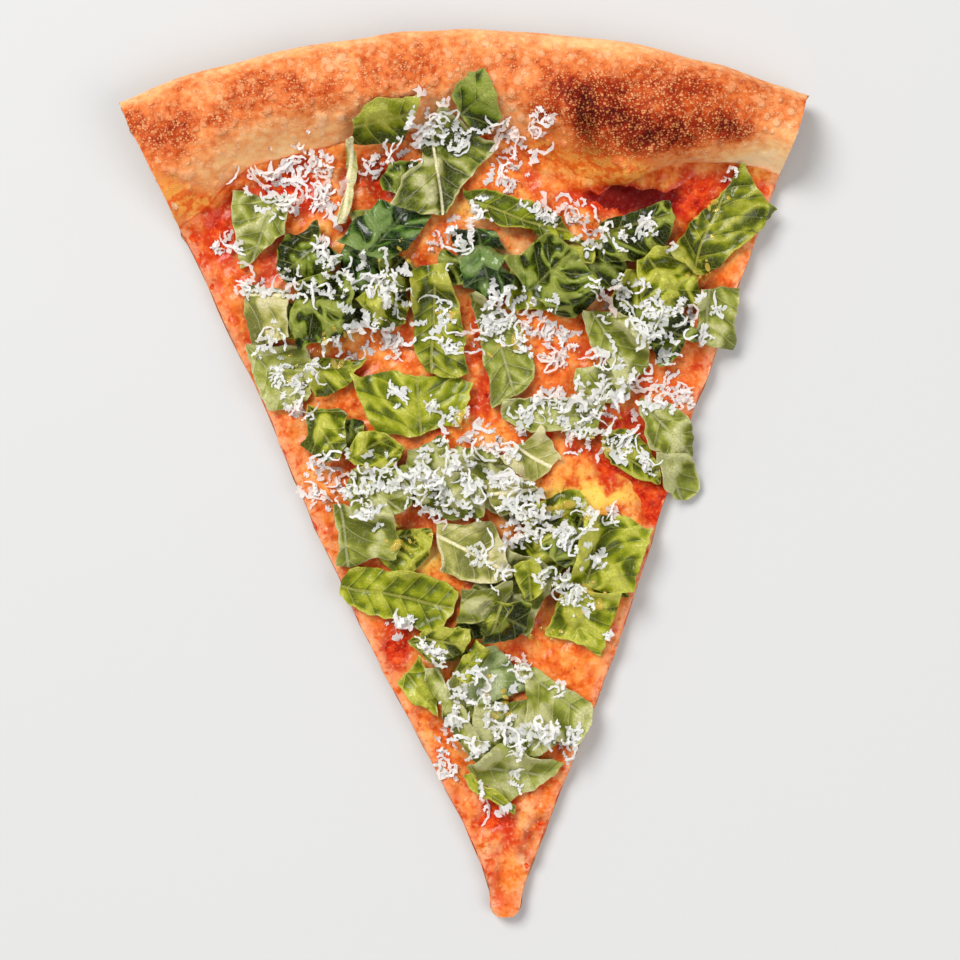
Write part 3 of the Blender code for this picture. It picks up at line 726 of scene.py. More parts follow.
# Pieces paler or darker than others of their kind.
PALER = {"left_sage": -0.08, "left_olive": -0.40, "dark_wet": 0.05, "rib_back": -0.10, "rim_top": 0.06,
         "rim_curl": 0.50, "fold_long": -0.38, "rim_dark": -0.20, "mid_dark": 0.12, "crumple_right": 0.10,
         "right_big": -0.08, "right_sage": -0.12, "sage_run": 0.24, "cream_rib": -0.14, "left_low_sage": 0.12,
         "left_fold": -0.06, "centre_long": -0.18, "mid_left": -0.27, "mid_bright": 0.08, "mid_small": 0.22,
         "cream_fork": 0.18, "edge_sage": -0.05, "edge_hang": 0.26, "dart": -0.08, "low_left_sage": -0.18,
         "shade_leaf": -0.34, "small_mid": 0.12, "tip_curl": -0.42, "right_ribbed": 0.22, "right_lip": 0.24,
         "low_bright": 0.08, "low_blue": 0.08, "low_wet": 0.16, "low_pale": 0.18, "low_end": 0.26,
         "low_strip": 0.16, "mid_right": 0.06}
# Each piece from the lowest up: its four corners in turn, how far each side bows out, how far its two
# ends curl up, how far it arches along and across, its crumples, its look, and a place on its rib with
# the rib's heading.
BASIL = (
    ("left_sage", ((-66, 205), (-52, 203), (-52, 192), (-66, 184)), (0, 0, 0.5, 0), 1.0,
     (0.5, 1.0), 1.2, "sage", (-54, 203, -115)),
    ("left_olive", ((-55, 188), (-43, 196), (-41, 181), (-52, 179)), (1, 0, 1, 1), 1.5,
     (0.5, 0.5), 1.0, "deep", (-42, 190, 215)),
    ("dark_wet", ((-37, 189), (-26, 201), (-12, 196), (-25, 184)), (0, 0.5, 1, 1), 0.5,
     (0, 0.5), 1.5, "wet", (-30, 186, 48)),
    ("rib_back", ((-7, 226), (6, 215), (-9, 196), (-23, 199)), (-0.5, 1, 0.5, -0.5), 0.5,
     (0, 0.5), 0.8, "ribbed", (-10.5, 217, -86)),
    ("rim_top", ((-4, 226), (3, 233), (9, 220), (1, 216)), (1, 0.5, 1, 0.5), 0.5,
     (0.5, 0.5), 0.8, "deep", (-3, 222, 30)),
    ("rim_olive", ((-33, 223), (-12, 228), (-18, 215), (-33, 217)), (1, 0, 0, -0.5), 1.0,
     (0.5, 2.0), 0.8, "olive", (-34, 220, 8)),
    ("rim_curl", ((-34, 217), (-32, 217), (-36, 195), (-39, 195)), (0, 1, 0, -1), 0.5,
     (1.0, 0.5), 0.3, "pale", (-33, 217, -98)),
    ("fold_long", ((-2, 203), (0, 196), (27, 186), (23, 194)), (0, 1, 0, 1.5), 1.0,
     (1.5, 1.5), 0.8, "bright", (-2, 199, -20)),
    ("rim_dark", ((34, 190), (53, 197), (52, 183), (34, 181)), (1, 0.5, 1, 0.5), 1.0,
     (0.5, 0.5), 2.0, "deep", (34, 188, 15)),
    ("teal", ((-6, 191), (5, 191), (8, 180), (-5, 176)), (1, 1, 1, 0), 0.5,
     (0.5, 0.5), 1.6, "wet", (0, 191, -80)),
    ("mid_dark", ((8, 182), (20, 188), (33, 174), (17, 168)), (0.5, 1, 1, 1), 1.0,
     (0.5, 0.5), 2.4, "deep", (12, 172, 40)),
    ("crumple_right", ((43, 181), (53, 183), (61, 169), (44, 166)), (1, 1, 1, 1), 1.0,
     (0.5, 0.5), 2.4, "bright", (46, 182, -65)),
    ("right_big", ((52, 183), (73, 205), (83, 192), (60, 174)), (-1, 0, 0.5, 1), 1.0,
     (0, 1.0), 1.0, "olive", (58, 176, 65)),
    ("right_sage", ((60, 172), (71, 171), (68, 156), (57, 159)), (0, 0.5, 0.5, 0), 0.5,
     (0.5, 0.5), 1.0, "sage", (63, 172, -95)),
    ("right_low", ((37, 167), (52, 168), (58, 158), (43, 158)), (1, 1, 0.5, 0.5), 0.5,
     (0.5, 1.0), 1.6, "deep", (38, 165, -20)),
    ("sage_run", ((28, 168), (43, 164), (46, 152), (36, 146)), (0, 0.5, 0.5, 0.5), 0.5,
     (0, 0.5), 1.0, "sage", (31, 166, -60)),
    ("cream_rib", ((-66, 180), (-52, 177), (-51, 164), (-63, 164)), (0, -0.5, 0.5, 0), 0.5,
     (0, 0.5), 0.6, "pale", (-65, 177, -8)),
    ("left_low_sage", ((-64, 163), (-49, 161), (-47, 149), (-60, 145)), (0, 1, 1, 0), 0.5,
     (0, 0.5), 1.0, "sage", (-62, 160, -50)),
    ("left_dark", ((-50, 179), (-35, 180), (-35, 166), (-50, 160)), (1, 1, 1, 1), 1.0,
     (0.5, 0.5), 2.4, "deep", (-48, 178, -50)),
    ("left_fold", ((-47, 158), (-31, 157), (-37, 152), (-46, 148)), (0.5, 0, 0, 0), 1.0,
     (0.5, 1.5), 1.0, "bright", (-46, 155, 5)),
    ("centre_wide", ((-37, 153), (-3, 149), (-7, 138), (-30, 136)), (1, 0.5, 1, 0.5), 0.5,
     (0.5, 0.5), 1.0, "bright", (-18, 135, 90)),
    ("centre_up", ((-18, 180), (-9, 181), (-4, 152), (-17, 153)), (1, 0.5, 0.5, 1.5), 1.0,
     (1.0, 0.5), 0.8, "olive", (-12, 181, -95)),
    ("centre_long", ((-3, 174), (9, 167), (14, 150), (2, 143)), (0.5, 1, 1, -0.5), 0.5,
     (0.5, 0.5), 0.8, "sage", (1, 174, -75)),
    ("mid_left", ((-48, 146), (-37, 141), (-40, 130), (-52, 134)), (0.5, 0.5, 0.5, -1), 1.0,
     (1.0, 0.5), 1.2, "bright", (-48, 144, -60)),
    ("mid_bright", ((-40, 132), (-31, 138), (-23, 133), (-29, 126)), (1, 0.5, 0.5, 1), 1.0,
     (0.5, 0.5), 1.6, "bright", (-38, 131, 20)),
    ("mid_small", ((-20, 132), (-13, 135), (-8, 127), (-17, 123)), (0.5, 0.5, 0.5, 0.5), 0.5,
     (0.5, 0.5), 1.4, "sage", (-18, 130, -40)),
    ("mid_right", ((4, 138), (5, 143), (33, 143), (30, 133)), (0, 1, 0, 1), 0.5,
     (0.5, 1.0), 1.0, "sage", (4, 140, -3)),
    ("cream_fork", ((3, 129), (15, 137), (20, 127), (11, 121)), (-0.5, 0.5, 1, 0.5), 0.5,
     (0, 0.5), 0.6, "pale", (5, 133, -34)),
    ("edge_dark", ((31, 134), (45, 131), (47, 120), (35, 124)), (1, 0.5, 0.5, 0.5), 0.5,
     (0.5, 0.5), 1.4, "olive", (32, 132, -40)),
    ("edge_sage", ((42, 142), (55, 138), (57, 126), (45, 128)), (1, 1, 0, 0), 0.5,
     (0.5, 0.5), 1.2, "sage", (44, 140, -50)),
    ("edge_hang", ((46, 128), (56, 126), (57, 118), (50, 114)), (0.5, 1, 1, 0.5), 0.5,
     (0.5, 0.5), 0.8, "sage", (49, 128, -75)),
    ("dart", ((-3, 122), (8, 123), (16, 119), (2, 113)), (0.5, 0.5, 0.5, 0.5), 0.5,
     (0.5, 0.5), 0.8, "pale", (-2, 118, 5)),
    ("under_shreds", ((-20, 126), (-3, 124), (-1, 113), (-19, 114)), (1, 1, 1, 1), 0.5,
     (0.5, 0.5), 1.2, "sage", (-18, 124, -30)),
    ("left_shreds", ((-38, 127), (-25, 126), (-22, 116), (-36, 116)), (1, 1, 1, 1), 0.5,
     (0.5, 0.5), 1.6, "sage", (-36, 125, -40)),
    ("low_left_sage", ((-44, 117), (-29, 117), (-26, 103), (-43, 101)), (0, 1, 0.5, -0.5), 0.5,
     (0.5, 0.5), 0.8, "sage", (-41, 117, -85)),
    ("wilted", ((-16, 111), (-1, 111), (5, 95), (-15, 98)), (0, 0.5, 1.5, 0), 0.5,
     (0.5, 0.5), 1.0, "pale", (-15, 108, -30)),
    ("under_wilted", ((-9, 93), (4, 94), (1, 86), (-10, 84)), (0, 1, 1, 0), 0.5,
     (0, -0.5), 0.4, "sage", (-9, 90, -10)),
    ("smooth_big", ((-41, 90), (-40, 100), (-9, 92), (-16, 82)), (2, 2.5, 1, 0.5), 0.5,
     (0.5, 0.5), 0.4, "bright", (-41, 95, -13)),
    ("small_mid", ((5, 100), (12, 101), (14, 91), (8, 89)), (0.5, 0.5, 0.5, 0.5), 0.5,
     (0.5, 0.5), 1.0, "bright", (9, 101, -85)),
    ("shade_leaf", ((0, 89), (9, 88), (6, 81), (-4, 78)), (0.5, 1, 1, 0.5), 0.5,
     (0.5, 0.5), 1.0, "deep", (0, 86, -30)),
    ("tip_curl", ((0, 89), (4, 88), (-1, 80), (-4, 81)), (0, 0.5, 0.5, 0.5), 0.5,
     (1.0, 0.5), 0.4, "olive", (2, 89, -115)),
    ("right_ribbed", ((26, 113), (44, 107), (37, 89), (20, 92)), (0.5, 0.5, 0.5, 0.5), 0.5,
     (0.5, 0.5), 1.2, "bright", (24, 90, 75)),
    ("right_lip", ((18, 91), (35, 90), (27, 73), (13, 78)), (0, 0.5, -1, 0.5), 0.5,
     (0.5, 0.5), 1.0, "bright", (20, 90, -75)),
    ("low_crumple", ((-21, 82), (-7, 83), (-10, 75), (-20, 75)), (1, 1, 1, 1), 0.5,
     (0.5, 0.5), 1.6, "olive", (-20, 80, -10)),
    ("low_bright", ((-27, 68), (-21, 76), (-19, 70), (-17, 58)), (0, 0, 0.5, 0.5), 0.5,
     (0.5, 0.5), 0.8, "bright", (-26, 71, -50)),
    ("low_blue", ((-8, 76), (0, 77), (7, 64), (-10, 61)), (0.5, 0.5, 0.5, 0.5), 0.5,
     (0.5, 0.5), 0.8, "blue", (-7, 75, -50)),
    ("low_spear", ((-13, 69), (-5, 80), (-2, 76), (-8, 67)), (0.5, 0.5, 0.5, 0.5), 0.5,
     (0.5, 1.0), 0.6, "bright", (-12, 68, 52)),
    ("low_wet", ((-8, 61), (11, 61), (14, 49), (-6, 47)), (1, 1, 1, 1), 0.5,
     (0.5, 0.5), 1.2, "sage", (-6, 58, -15)),
    ("low_pale", ((6, 72), (25, 60), (20, 47), (7, 56)), (0.5, 0.5, 0, 0.5), 0.5,
     (0.5, 0.5), 0.8, "sage", (7, 70, -40)),
    ("low_stalk", ((-20, 72), (-15, 73), (-3, 49), (-7, 46)), (0, -1.5, 0, 2), 0.5,
     (1.0, 0.5), 0.4, "sage", (-18, 73, -65)),
    ("low_end", ((-11, 44), (0, 50), (16, 44), (1, 33)), (0.5, 0.5, 0.5, 0), 0.5,
     (0.5, 0.5), 0.6, "sage", (-9, 45, -12)),
    ("low_strip", ((-12, 43), (-10, 44), (2, 33), (1, 31)), (0, 0.5, 0, 0.5), 0.5,
     (0.5, 0.5), 0.2, "bright", (-11, 43, -42)),
)


def evened(sheet):
    """Each number of a sheet replaced by the mean of its four neighbours."""
    edged = np.pad(sheet, 1, mode="edge")
    return (edged[:-2, 1:-1] + edged[2:, 1:-1] + edged[1:-1, :-2] + edged[1:-1, 2:]) / 4


def add_leaf(number, name, corners, bows, curl, arch, crumple, look, rib):
    """Drape one torn piece over what lies below it."""
    sides = [math.dist(corners[i], corners[(i + 1) % 4]) * MM for i in range(4)]
    cells_u = max(4, round(max(sides[0], sides[2]) / LEAF_CELL))
    cells_v = max(4, round(max(sides[1], sides[3]) / LEAF_CELL))
    bpy.ops.object.select_all(action="DESELECT")
    bpy.ops.mesh.primitive_grid_add(x_subdivisions=cells_u, y_subdivisions=cells_v, size=1)
    leaf = bpy.context.object
    leaf.name = "leaf_" + name
    u, v, _ = points_of(leaf) + 0.5
    order = np.lexsort((np.rint(u * cells_u), np.rint(v * cells_v)))
    u = u[order].reshape(cells_v + 1, cells_u + 1)
    v = v[order].reshape(cells_v + 1, cells_u + 1)

    x, y = leaf_plan(corners, bows, u, v)
    x = x + MM * (1.3 * wander(x, y, 6 * MM, number) + 0.4 * wander(x, y, 1.9 * MM, number + 100))
    y = y + MM * (1.3 * wander(x, y, 6 * MM, number + 200) + 0.4 * wander(x, y, 1.9 * MM, number + 300))
    rib_x, rib_y, heading = rib
    cosine, sine = math.cos(math.radians(heading)), math.sin(math.radians(heading))
    along = (x / MM - rib_x) * cosine + (y / MM - rib_y) * sine
    across = (y / MM - rib_y) * cosine - (x / MM - rib_x) * sine
    across += 0.5 * wander(x, y, 8 * MM, number + 400)
    along += 0.7 * wander(x, y, 5 * MM, number + 500)

    low = pile.under(x, y) + CLEARANCE
    z = low.copy()
    for _ in range(SETTLING):
        z = np.maximum(evened(z), low)
    aside = np.abs(across)
    phase = (along - 0.85 * aside + 0.02 * aside ** 2) / VEIN_SPACING
    from_vein = 1 - np.abs(2 * (phase % 1) - 1) ** 2.4
    relief = curl * np.abs(2 * u - 1) ** 3
    relief += 1.0 * np.maximum(np.abs(2 * u - 1), np.abs(2 * v - 1)) ** 6 * rise(0.4 + wander(x, y, 7 * MM, number + 50))
    relief += arch[0] * 4 * u * (1 - u) + arch[1] * 4 * v * (1 - v)
    puff = 0.4 if look in ("ribbed", "wet") else 0.24
    relief += puff * from_vein * rise(aside / 2) + 0.14 * wander(x, y, 1.7 * MM, number + 600)
    relief += (0.35 if look == "pale" else -0.3) * bell(aside, 0, 0.5)
    forth, over = (0.85 * along + aside) * MM, (along - 0.85 * aside) * MM
    pleats = 1 - np.abs(wander(forth * 0.4, over, 3.6 * MM, number + 700))
    folds = 1 - np.abs(wander(x, y, 9 * MM, number + 800))
    relief += max(crumple - 0.3, 0.1) * (0.7 * pleats ** 2 + 1.0 * folds ** 4)
    relief += 0.3 * crumple * wander(x, y, 5 * MM, number + 850)
    z = z + MM * np.maximum(relief + 0.3, 0)
    softened = [z]
    for _ in range(90):
        softened.append(evened(softened[-1]))
    pile.lay(halved(x), halved(y), halved(z) + LEAF_THICKNESS / 2)

    places = np.empty((3, x.size))
    places[:, order] = x.ravel(), y.ravel(), z.ravel()
    put(leaf, *places)
    border = np.minimum(np.minimum(u, 1 - u) * cells_u, np.minimum(v, 1 - v) * cells_v)
    # relief and swell measure how far each point stands above or sinks below its surroundings, finely and broadly.
    # The finish paints light on the rises and shade in the hollows from them. rim marks the torn edge, which gets a
    # painted highlight.
    marks = {"along_rib": along, "across_rib": across, "rim": rise(1 - border / 1.2),
             "relief": np.clip((z - softened[14]) / (0.35 * MM), -1, 1),
             "swell": np.clip((z - softened[90]) / (0.8 * MM), -1, 1),
             "paler": np.full_like(x, PALER.get(name, 0))}
    for mark_name, values in marks.items():
        flat = np.empty(values.size)
        flat[order] = values.ravel()
        mark(leaf, **{mark_name: flat})
    thick = leaf.modifiers.new("thickness", "SOLIDIFY")
    thick.thickness = LEAF_THICKNESS
    thick.offset = 0
    bpy.ops.object.modifier_apply(modifier=thick.name)
    close(leaf, 60)
    finished(leaf, LOOKS[look], "basil", *["basil_" + name] * (name in leaf_names))


# Small scraps between them, as (x, y, length, width, heading, crumple, look).
SCRAPS = (
    (-36, 171, 9, 14, -80, 2.4, "deep"), (-39, 137, 11, 7, -20, 2.0, "deep"), (-24, 105, 14, 10, 10, 2.0, "bright"),
    (-15, 126, 16, 11, -15, 1.6, "sage"), (-26, 123, 15, 11, 10, 2.2, "deep"), (-2, 123, 15, 12, -10, 1.6, "sage"),
    (7, 117, 15, 11, -25, 1.6, "pale"), (18, 109, 17, 12, 20, 2.2, "bright"), (13, 101, 12, 16, 70, 2.2, "bright"),
    (5, 93, 17, 17, 60, 2.4, "sage"), (27, 92, 16, 10, 20, 1.8, "bright"), (-5, 84, 11, 8, -10, 2.0, "deep"),
    (-15, 78, 13, 9, 10, 2.2, "bright"), (-8, 62, 15, 13, -50, 1.4, "sage"), (1, 52, 18, 11, -10, 1.8, "bright"),
    (15, 174, 16, 10, -10, 2.2, "bright"), (32, 178, 15, 12, 20, 2.4, "deep"), (43, 171, 12, 10, -30, 2.2, "bright"),
    (25, 172, 12, 9, 50, 2.4, "deep"), (33, 148, 15, 8, -10, 1.4, "sage"), (-3, 180, 8, 14, 80, 2.2, "deep"),
    (-47, 168, 10, 14, 80, 2.2, "bright"), (-31, 192, 14, 7, 80, 1.0, "sage"), (-31, 181, 13, 10, -30, 2.2, "wet"),
    (-27, 170, 12, 10, 20, 2.2, "bright"), (-22, 180, 8, 9, 40, 2.0, "deep"), (3, 178, 10, 9, -40, 2.0, "wet"),
    (12, 180, 9, 7, 60, 2.2, "olive"), (50, 160, 12, 9, -60, 1.8, "deep"), (27, 184, 12, 6, -20, 1.6, "olive"),
    (-55, 170, 9, 7, -60, 1.4, "deep"), (22, 104, 12, 9, 50, 2.2, "deep"), (-44, 185, 10, 8, 30, 2.0, "wet"), (-17, 205, 10, 14, 70, 2.0, "deep"),
)

leaf_names = [row[0] for row in BASIL]
pile = Pile(dough, sauce, cheese)
pile.plain = pile.heights.copy()
draw = np.random.default_rng(63)
for number, (scrap_x, scrap_y, long, wide, heading, crumple, look) in enumerate(SCRAPS):
    turn = math.radians(heading)
    corners = []
    for end, side in ((-1, -1), (1, -1), (1, 1), (-1, 1)):
        forth, over = end * long / 2 + draw.uniform(-1.5, 1.5), side * wide / 2 + draw.uniform(-1.5, 1.5)
        corners.append((scrap_x + forth * math.cos(turn) - over * math.sin(turn),
                        scrap_y + forth * math.sin(turn) + over * math.cos(turn)))
    add_leaf(number + 900, f"scrap_{number + 1:02d}", corners, draw.uniform(0, 1.2, 4), draw.uniform(0.3, 1.0),
             (0.5, 0.5), crumple, look, (scrap_x, scrap_y + wide / 3, heading))
for number, row in enumerate(BASIL):
    add_leaf(number, *row)


# ------------------------------------------------------------------------------------------------
# Oil. Olive oil shaken over the slice as it left the oven, lying in thin golden pools on the leaves
# and the cheese.
# ------------------------------------------------------------------------------------------------
# Wet places, as (x, y, spread, pools) in millimetres.
OILED = (
    (-9, 137, 5, 5), (50, 121, 4, 4), (-40, 161, 6, 6), (26, 89, 6, 6), (-25, 106, 5, 6), (0, 62, 7, 7),
    (19, 114, 6, 6), (66, 192, 6, 4), (-22, 187, 5, 4), (-10, 168, 5, 4), (30, 134, 6, 5), (62, 178, 5, 4),
    (12, 160, 7, 5), (-52, 155, 5, 4), (14, 78, 5, 4), (-37, 164, 2, 3),
)

oil_draw = np.random.default_rng(91)
bpy.ops.object.select_all(action="DESELECT")
bpy.ops.mesh.primitive_ico_sphere_add(subdivisions=2, radius=1)
ball = bpy.context.object
ball_points = points_of(ball)
ball_faces = [tuple(face.vertices) for face in ball.data.polygons]
bpy.data.objects.remove(ball)
points, faces = [], []
for oil_x, oil_y, spread, count in OILED:
    for _ in range(2 * count):
        drop_x = (oil_x + oil_draw.normal(0, 0.55) * spread) * MM
        drop_y = (oil_y + oil_draw.normal(0, 0.55) * spread) * MM
        size = 0.6 * MM * math.exp(oil_draw.normal(0, 0.45))
        if pile.under(np.array(drop_x), np.array(drop_y)) <= 0 or abs(drop_x) > 0.36 * drop_y:
            continue
        stretch, lean = oil_draw.uniform(0.7, 1.6), oil_draw.uniform(0, math.pi)
        px, py, pz = ball_points * size
        px, py = px * stretch, py / stretch
        px, py = px * math.cos(lean) - py * math.sin(lean), px * math.sin(lean) + py * math.cos(lean)
        px, py = drop_x + px, drop_y + py
        pz = pile.under(px, py) - 0.1 * MM + np.where(pz > 0, 0.5, 0.02) * pz
        start = sum(len(part) for part in points)
        points.append(np.column_stack((px, py + POINT_Y, pz)))
        faces += [tuple(start + corner for corner in face) for face in ball_faces]
mesh = bpy.data.meshes.new("oil_drops")
mesh.from_pydata(np.concatenate(points), [], faces)
drops = bpy.data.objects.new("oil_drops", mesh)
bpy.context.scene.collection.objects.link(drops)
close(drops, 60)
oil = Finish("golden_oil", Alpha=0.32, Coat_Weight=1.0, Coat_Roughness=0.05)
oil.wear(Base_Color=oil.mix(oil.cloud(3 * MM, 2.0), paint(244, 206, 60), paint(252, 226, 110)),
         Roughness=0.06 + 0.04 * oil.cloud(2 * MM, 2.0))
finished(drops, oil, "oil")


# ------------------------------------------------------------------------------------------------
# Grated cheese. A hard aged cheese run over a fine rasp: short curled ribbons that fell in loose
# heaps, with flatter shavings that melted a little where they touched the hot slice, and crumbs.
# ------------------------------------------------------------------------------------------------
# Heaps of shreds, as (x, y, spread, shreds), in millimetres from the slice's point.
HEAPS = (
    (-56, 207, 6, 30), (-45, 210, 7, 44), (-41, 202, 5, 24), (-51, 200, 5, 18), (-27, 211, 4, 10), (-20, 212, 4, 12),
    (-14, 218, 4, 14), (-9, 221, 5, 20), (-3, 216, 4, 16), (4, 217, 4, 8), (10, 213, 6, 28), (9, 206, 5, 18),
    (18, 219, 3, 8), (19, 197, 5, 18), (26, 194, 6, 18), (34, 188, 6, 18), (45, 189, 5, 14), (1, 196, 3, 12),
    (-4, 190, 5, 20), (-9, 188, 4, 12), (-63, 180, 4, 12), (-53, 179, 5, 16), (-41, 187, 4, 10), (-45, 177, 5, 18),
    (-35, 181, 6, 28), (-27, 178, 6, 28), (-22, 173, 5, 20), (-31, 165, 6, 22), (-24, 161, 4, 14), (-38, 162, 5, 12),
    (-11, 167, 5, 14), (-8, 159, 3, 8), (5, 172, 5, 20), (2, 165, 6, 28), (11, 163, 7, 34), (18, 166, 6, 24),
    (24, 160, 5, 16), (20, 155, 4, 12), (32, 155, 4, 12), (33, 170, 5, 16), (39, 173, 6, 16), (47, 167, 6, 28),
    (55, 164, 5, 16), (43, 160, 6, 24), (49, 156, 4, 14), (-58, 163, 5, 14), (-56, 154, 5, 18), (-48, 153, 4, 12),
    (-51, 144, 4, 12), (37, 147, 7, 34), (45, 145, 7, 34), (52, 143, 5, 20), (56, 142, 3, 8), (29, 143, 6, 26),
    (21, 144, 6, 24), (12, 141, 6, 22), (31, 136, 5, 20), (23, 135, 5, 18), (39, 130, 5, 20), (44, 124, 3, 10),
    (-7, 139, 4, 10), (-2, 134, 5, 20), (-10, 129, 6, 28), (3, 131, 5, 16), (-16, 123, 7, 38), (-24, 125, 6, 24),
    (-5, 120, 6, 34), (3, 122, 5, 26), (8, 117, 6, 26), (-14, 116, 5, 20), (-44, 128, 5, 20), (-38, 122, 6, 28),
    (-31, 124, 5, 20), (-47, 121, 4, 12), (-33, 116, 4, 14), (15, 111, 6, 32), (8, 107, 6, 32), (21, 105, 5, 20),
    (27, 112, 4, 12), (33, 111, 3, 8), (-4, 103, 5, 14), (2, 96, 4, 10), (19, 93, 5, 22), (23, 88, 4, 14),
    (14, 96, 4, 12), (29, 99, 3, 6), (31, 78, 2, 4), (-26, 85, 4, 16), (-19, 79, 4, 8), (-15, 75, 4, 10),
    (-12, 65, 5, 22), (-14, 59, 4, 18), (-5, 69, 5, 16), (-3, 62, 5, 20), (6, 69, 4, 14), (0, 55, 5, 20),
    (5, 52, 6, 32), (12, 53, 4, 16), (-9, 50, 4, 10), (19, 51, 4, 14), (19, 46, 3, 12), (24, 43, 2, 6),
    (-16, 50, 3, 12), (-15, 43, 3, 12), (-19, 44, 2, 6), (-5, 32, 3, 6), (-7, 38, 2, 3), (4, 41, 3, 4),
    (16, 64, 2, 4), (-69, 193, 2, 4), (-72, 190, 2, 4), (-65, 189, 2, 4), (61, 158, 2, 4), (64, 166, 2, 4),
    (-25, 227, 4, 1), (-66, 231, 4, 1), (19, 218, 3, 4), (70, 203, 3, 4), (-23, 147, 3, 5), (-15, 144, 3, 6),
)
SHRED_CUTS = 8                   # bends along one shred
HEAP_HEIGHT = 1.8 * MM           # no shred lies higher than this over the leaves

bpy.ops.object.select_all(action="DESELECT")
bpy.ops.mesh.primitive_cube_add(size=1, location=(0.5, 0, 0))
bpy.ops.object.transform_apply(location=True)
shred = bpy.context.object
bpy.ops.object.mode_set(mode="EDIT")
ribbon = bmesh.from_edit_mesh(shred.data)
bpy.ops.mesh.select_all(action="DESELECT")
for edge in ribbon.edges:
    edge.select = abs(edge.verts[0].co.x - edge.verts[1].co.x) > 0.5
bmesh.update_edit_mesh(shred.data)
bpy.ops.mesh.subdivide(number_cuts=SHRED_CUTS - 1)
bpy.ops.object.mode_set(mode="OBJECT")
shred_points = points_of(shred)
shred_faces = [tuple(face.vertices) for face in shred.data.polygons]
bpy.data.objects.remove(shred)


def strewn(name, heaps, draw, length, width, thickness, turn, standing, twist, share, ragged):
    """Bend and drop copies of the one shred into heaps, and join them into one mesh."""
    points, faces, tints = [], [], []
    for heap_x, heap_y, spread, count in heaps:
        for _ in range(round(count * share)):
            heading = draw.uniform(0, 2 * math.pi)
            long = min(length * math.exp(draw.normal(0, 0.35)), 9 * MM)
            aside_x, aside_y = draw.normal(0, 0.5 * spread * MM, 2)
            steps = np.linspace(0, 1, 17)
            bend = turn * draw.uniform(0.2, 1.4) * draw.choice((-1, 1)) * steps
            bend += draw.normal(0, 0.6) * np.sin(math.pi * steps * draw.uniform(1, 3))
            path_x = np.cumsum(np.cos(heading + bend)) * long / 17
            path_y = np.cumsum(np.sin(heading + bend)) * long / 17
            path_x += heap_x * MM + aside_x - path_x.mean()
            path_y += heap_y * MM + aside_y - path_y.mean()
            ground = pile.under(path_x, path_y)
            bare = pile.bare[pile.cell(path_x, path_y)]
            if bare.min() <= 0 or ground.max() - bare.max() > HEAP_HEIGHT:
                continue
            roll = draw.uniform(-1, 1) * standing + draw.normal(0, twist) * steps
            wide = width * math.exp(draw.normal(0, 0.28))
            half = wide / 2 * np.abs(np.sin(roll)) + thickness / 2
            level = np.maximum(ground, ground.mean()) + half
            for _ in range(3):
                level[1:-1] = np.maximum(level[1:-1], (level[:-2] + level[2:]) / 2)
            level += draw.uniform(0, 0.7) * MM * standing * np.abs(steps - draw.uniform(0.2, 0.8)) ** 2 * 2
            pile.lay(path_x, path_y, level + half * 0.5)

            at, aside, above = shred_points
            taper = (0.35 + 0.65 * np.sin(math.pi * np.clip(at * 0.9 + 0.05, 0, 1)) ** 0.6)
            torn = 1 + ragged * np.sin(at * draw.uniform(12, 34) + draw.uniform(0, 6) + 2.2 * np.sign(aside))
            aside = aside * wide * taper * torn
            above = above * thickness
            here_roll = np.interp(at, steps, roll)
            side = aside * np.cos(here_roll) - above * np.sin(here_roll)
            lift = aside * np.sin(here_roll) + above * np.cos(here_roll)
            aim = heading + np.interp(at, steps, bend)
            px = np.interp(at, steps, path_x) - side * np.sin(aim)
            py = np.interp(at, steps, path_y) + side * np.cos(aim)
            pz = np.interp(at, steps, level) + lift
            start = sum(len(part) for part in points)
            points.append(np.column_stack((px, py + POINT_Y, pz)))
            faces += [tuple(start + corner for corner in face) for face in shred_faces]
            # Which shreds lie over leaves, so that the light showing through them is painted green.
            over_leaf = np.mean(pile.leafy[pile.cell(path_x, path_y)]) > 0.5
            tints.append(np.full(len(px), draw.random() * (1 if over_leaf else -1)))
    mesh = bpy.data.meshes.new(name)
    mesh.from_pydata(np.concatenate(points), [], faces)
    piece = bpy.data.objects.new(name, mesh)
    bpy.context.scene.collection.objects.link(piece)
    mark(piece, tint=np.concatenate(tints))
    close(piece, 50)
    return piece


def cheese_finish(name, alpha):
    """The skin of the shreds: cream; greenish over leaves, painted as the leaf's light showing through the thin
    shred; rosy over the melted cheese, where they melted a little and its light shows through them too.
    """
    finish = Finish(name, Subsurface_Weight=0.4, Subsurface_Scale=0.0012, Alpha=alpha,
                    Subsurface_Radius=(1.0, 0.8, 0.6), Specular_IOR_Level=0.3)
    speckle = finish.cloud(0.6 * MM, 2.0)
    cream = finish.mix(speckle.share(0.35, 0.7), paint(246, 242, 234), paint(255, 253, 250))
    tint = finish.marked("tint")
    # Painted light through thin shreds: greenish over leaves, rosy over the cheese, partly from melting onto it.
    cream = finish.mix(tint.share(0.4, 1.0) * 0.4, cream, paint(214, 218, 188))
    cream = finish.mix(tint.share(-0.3, -1.0) * 0.6, cream, paint(248, 208, 184))
    finish.wear(Base_Color=cream, Roughness=0.42 + 0.25 * speckle)
    finish.wear(Normal=finish.bump(speckle, 0.1 * MM))
    return finish


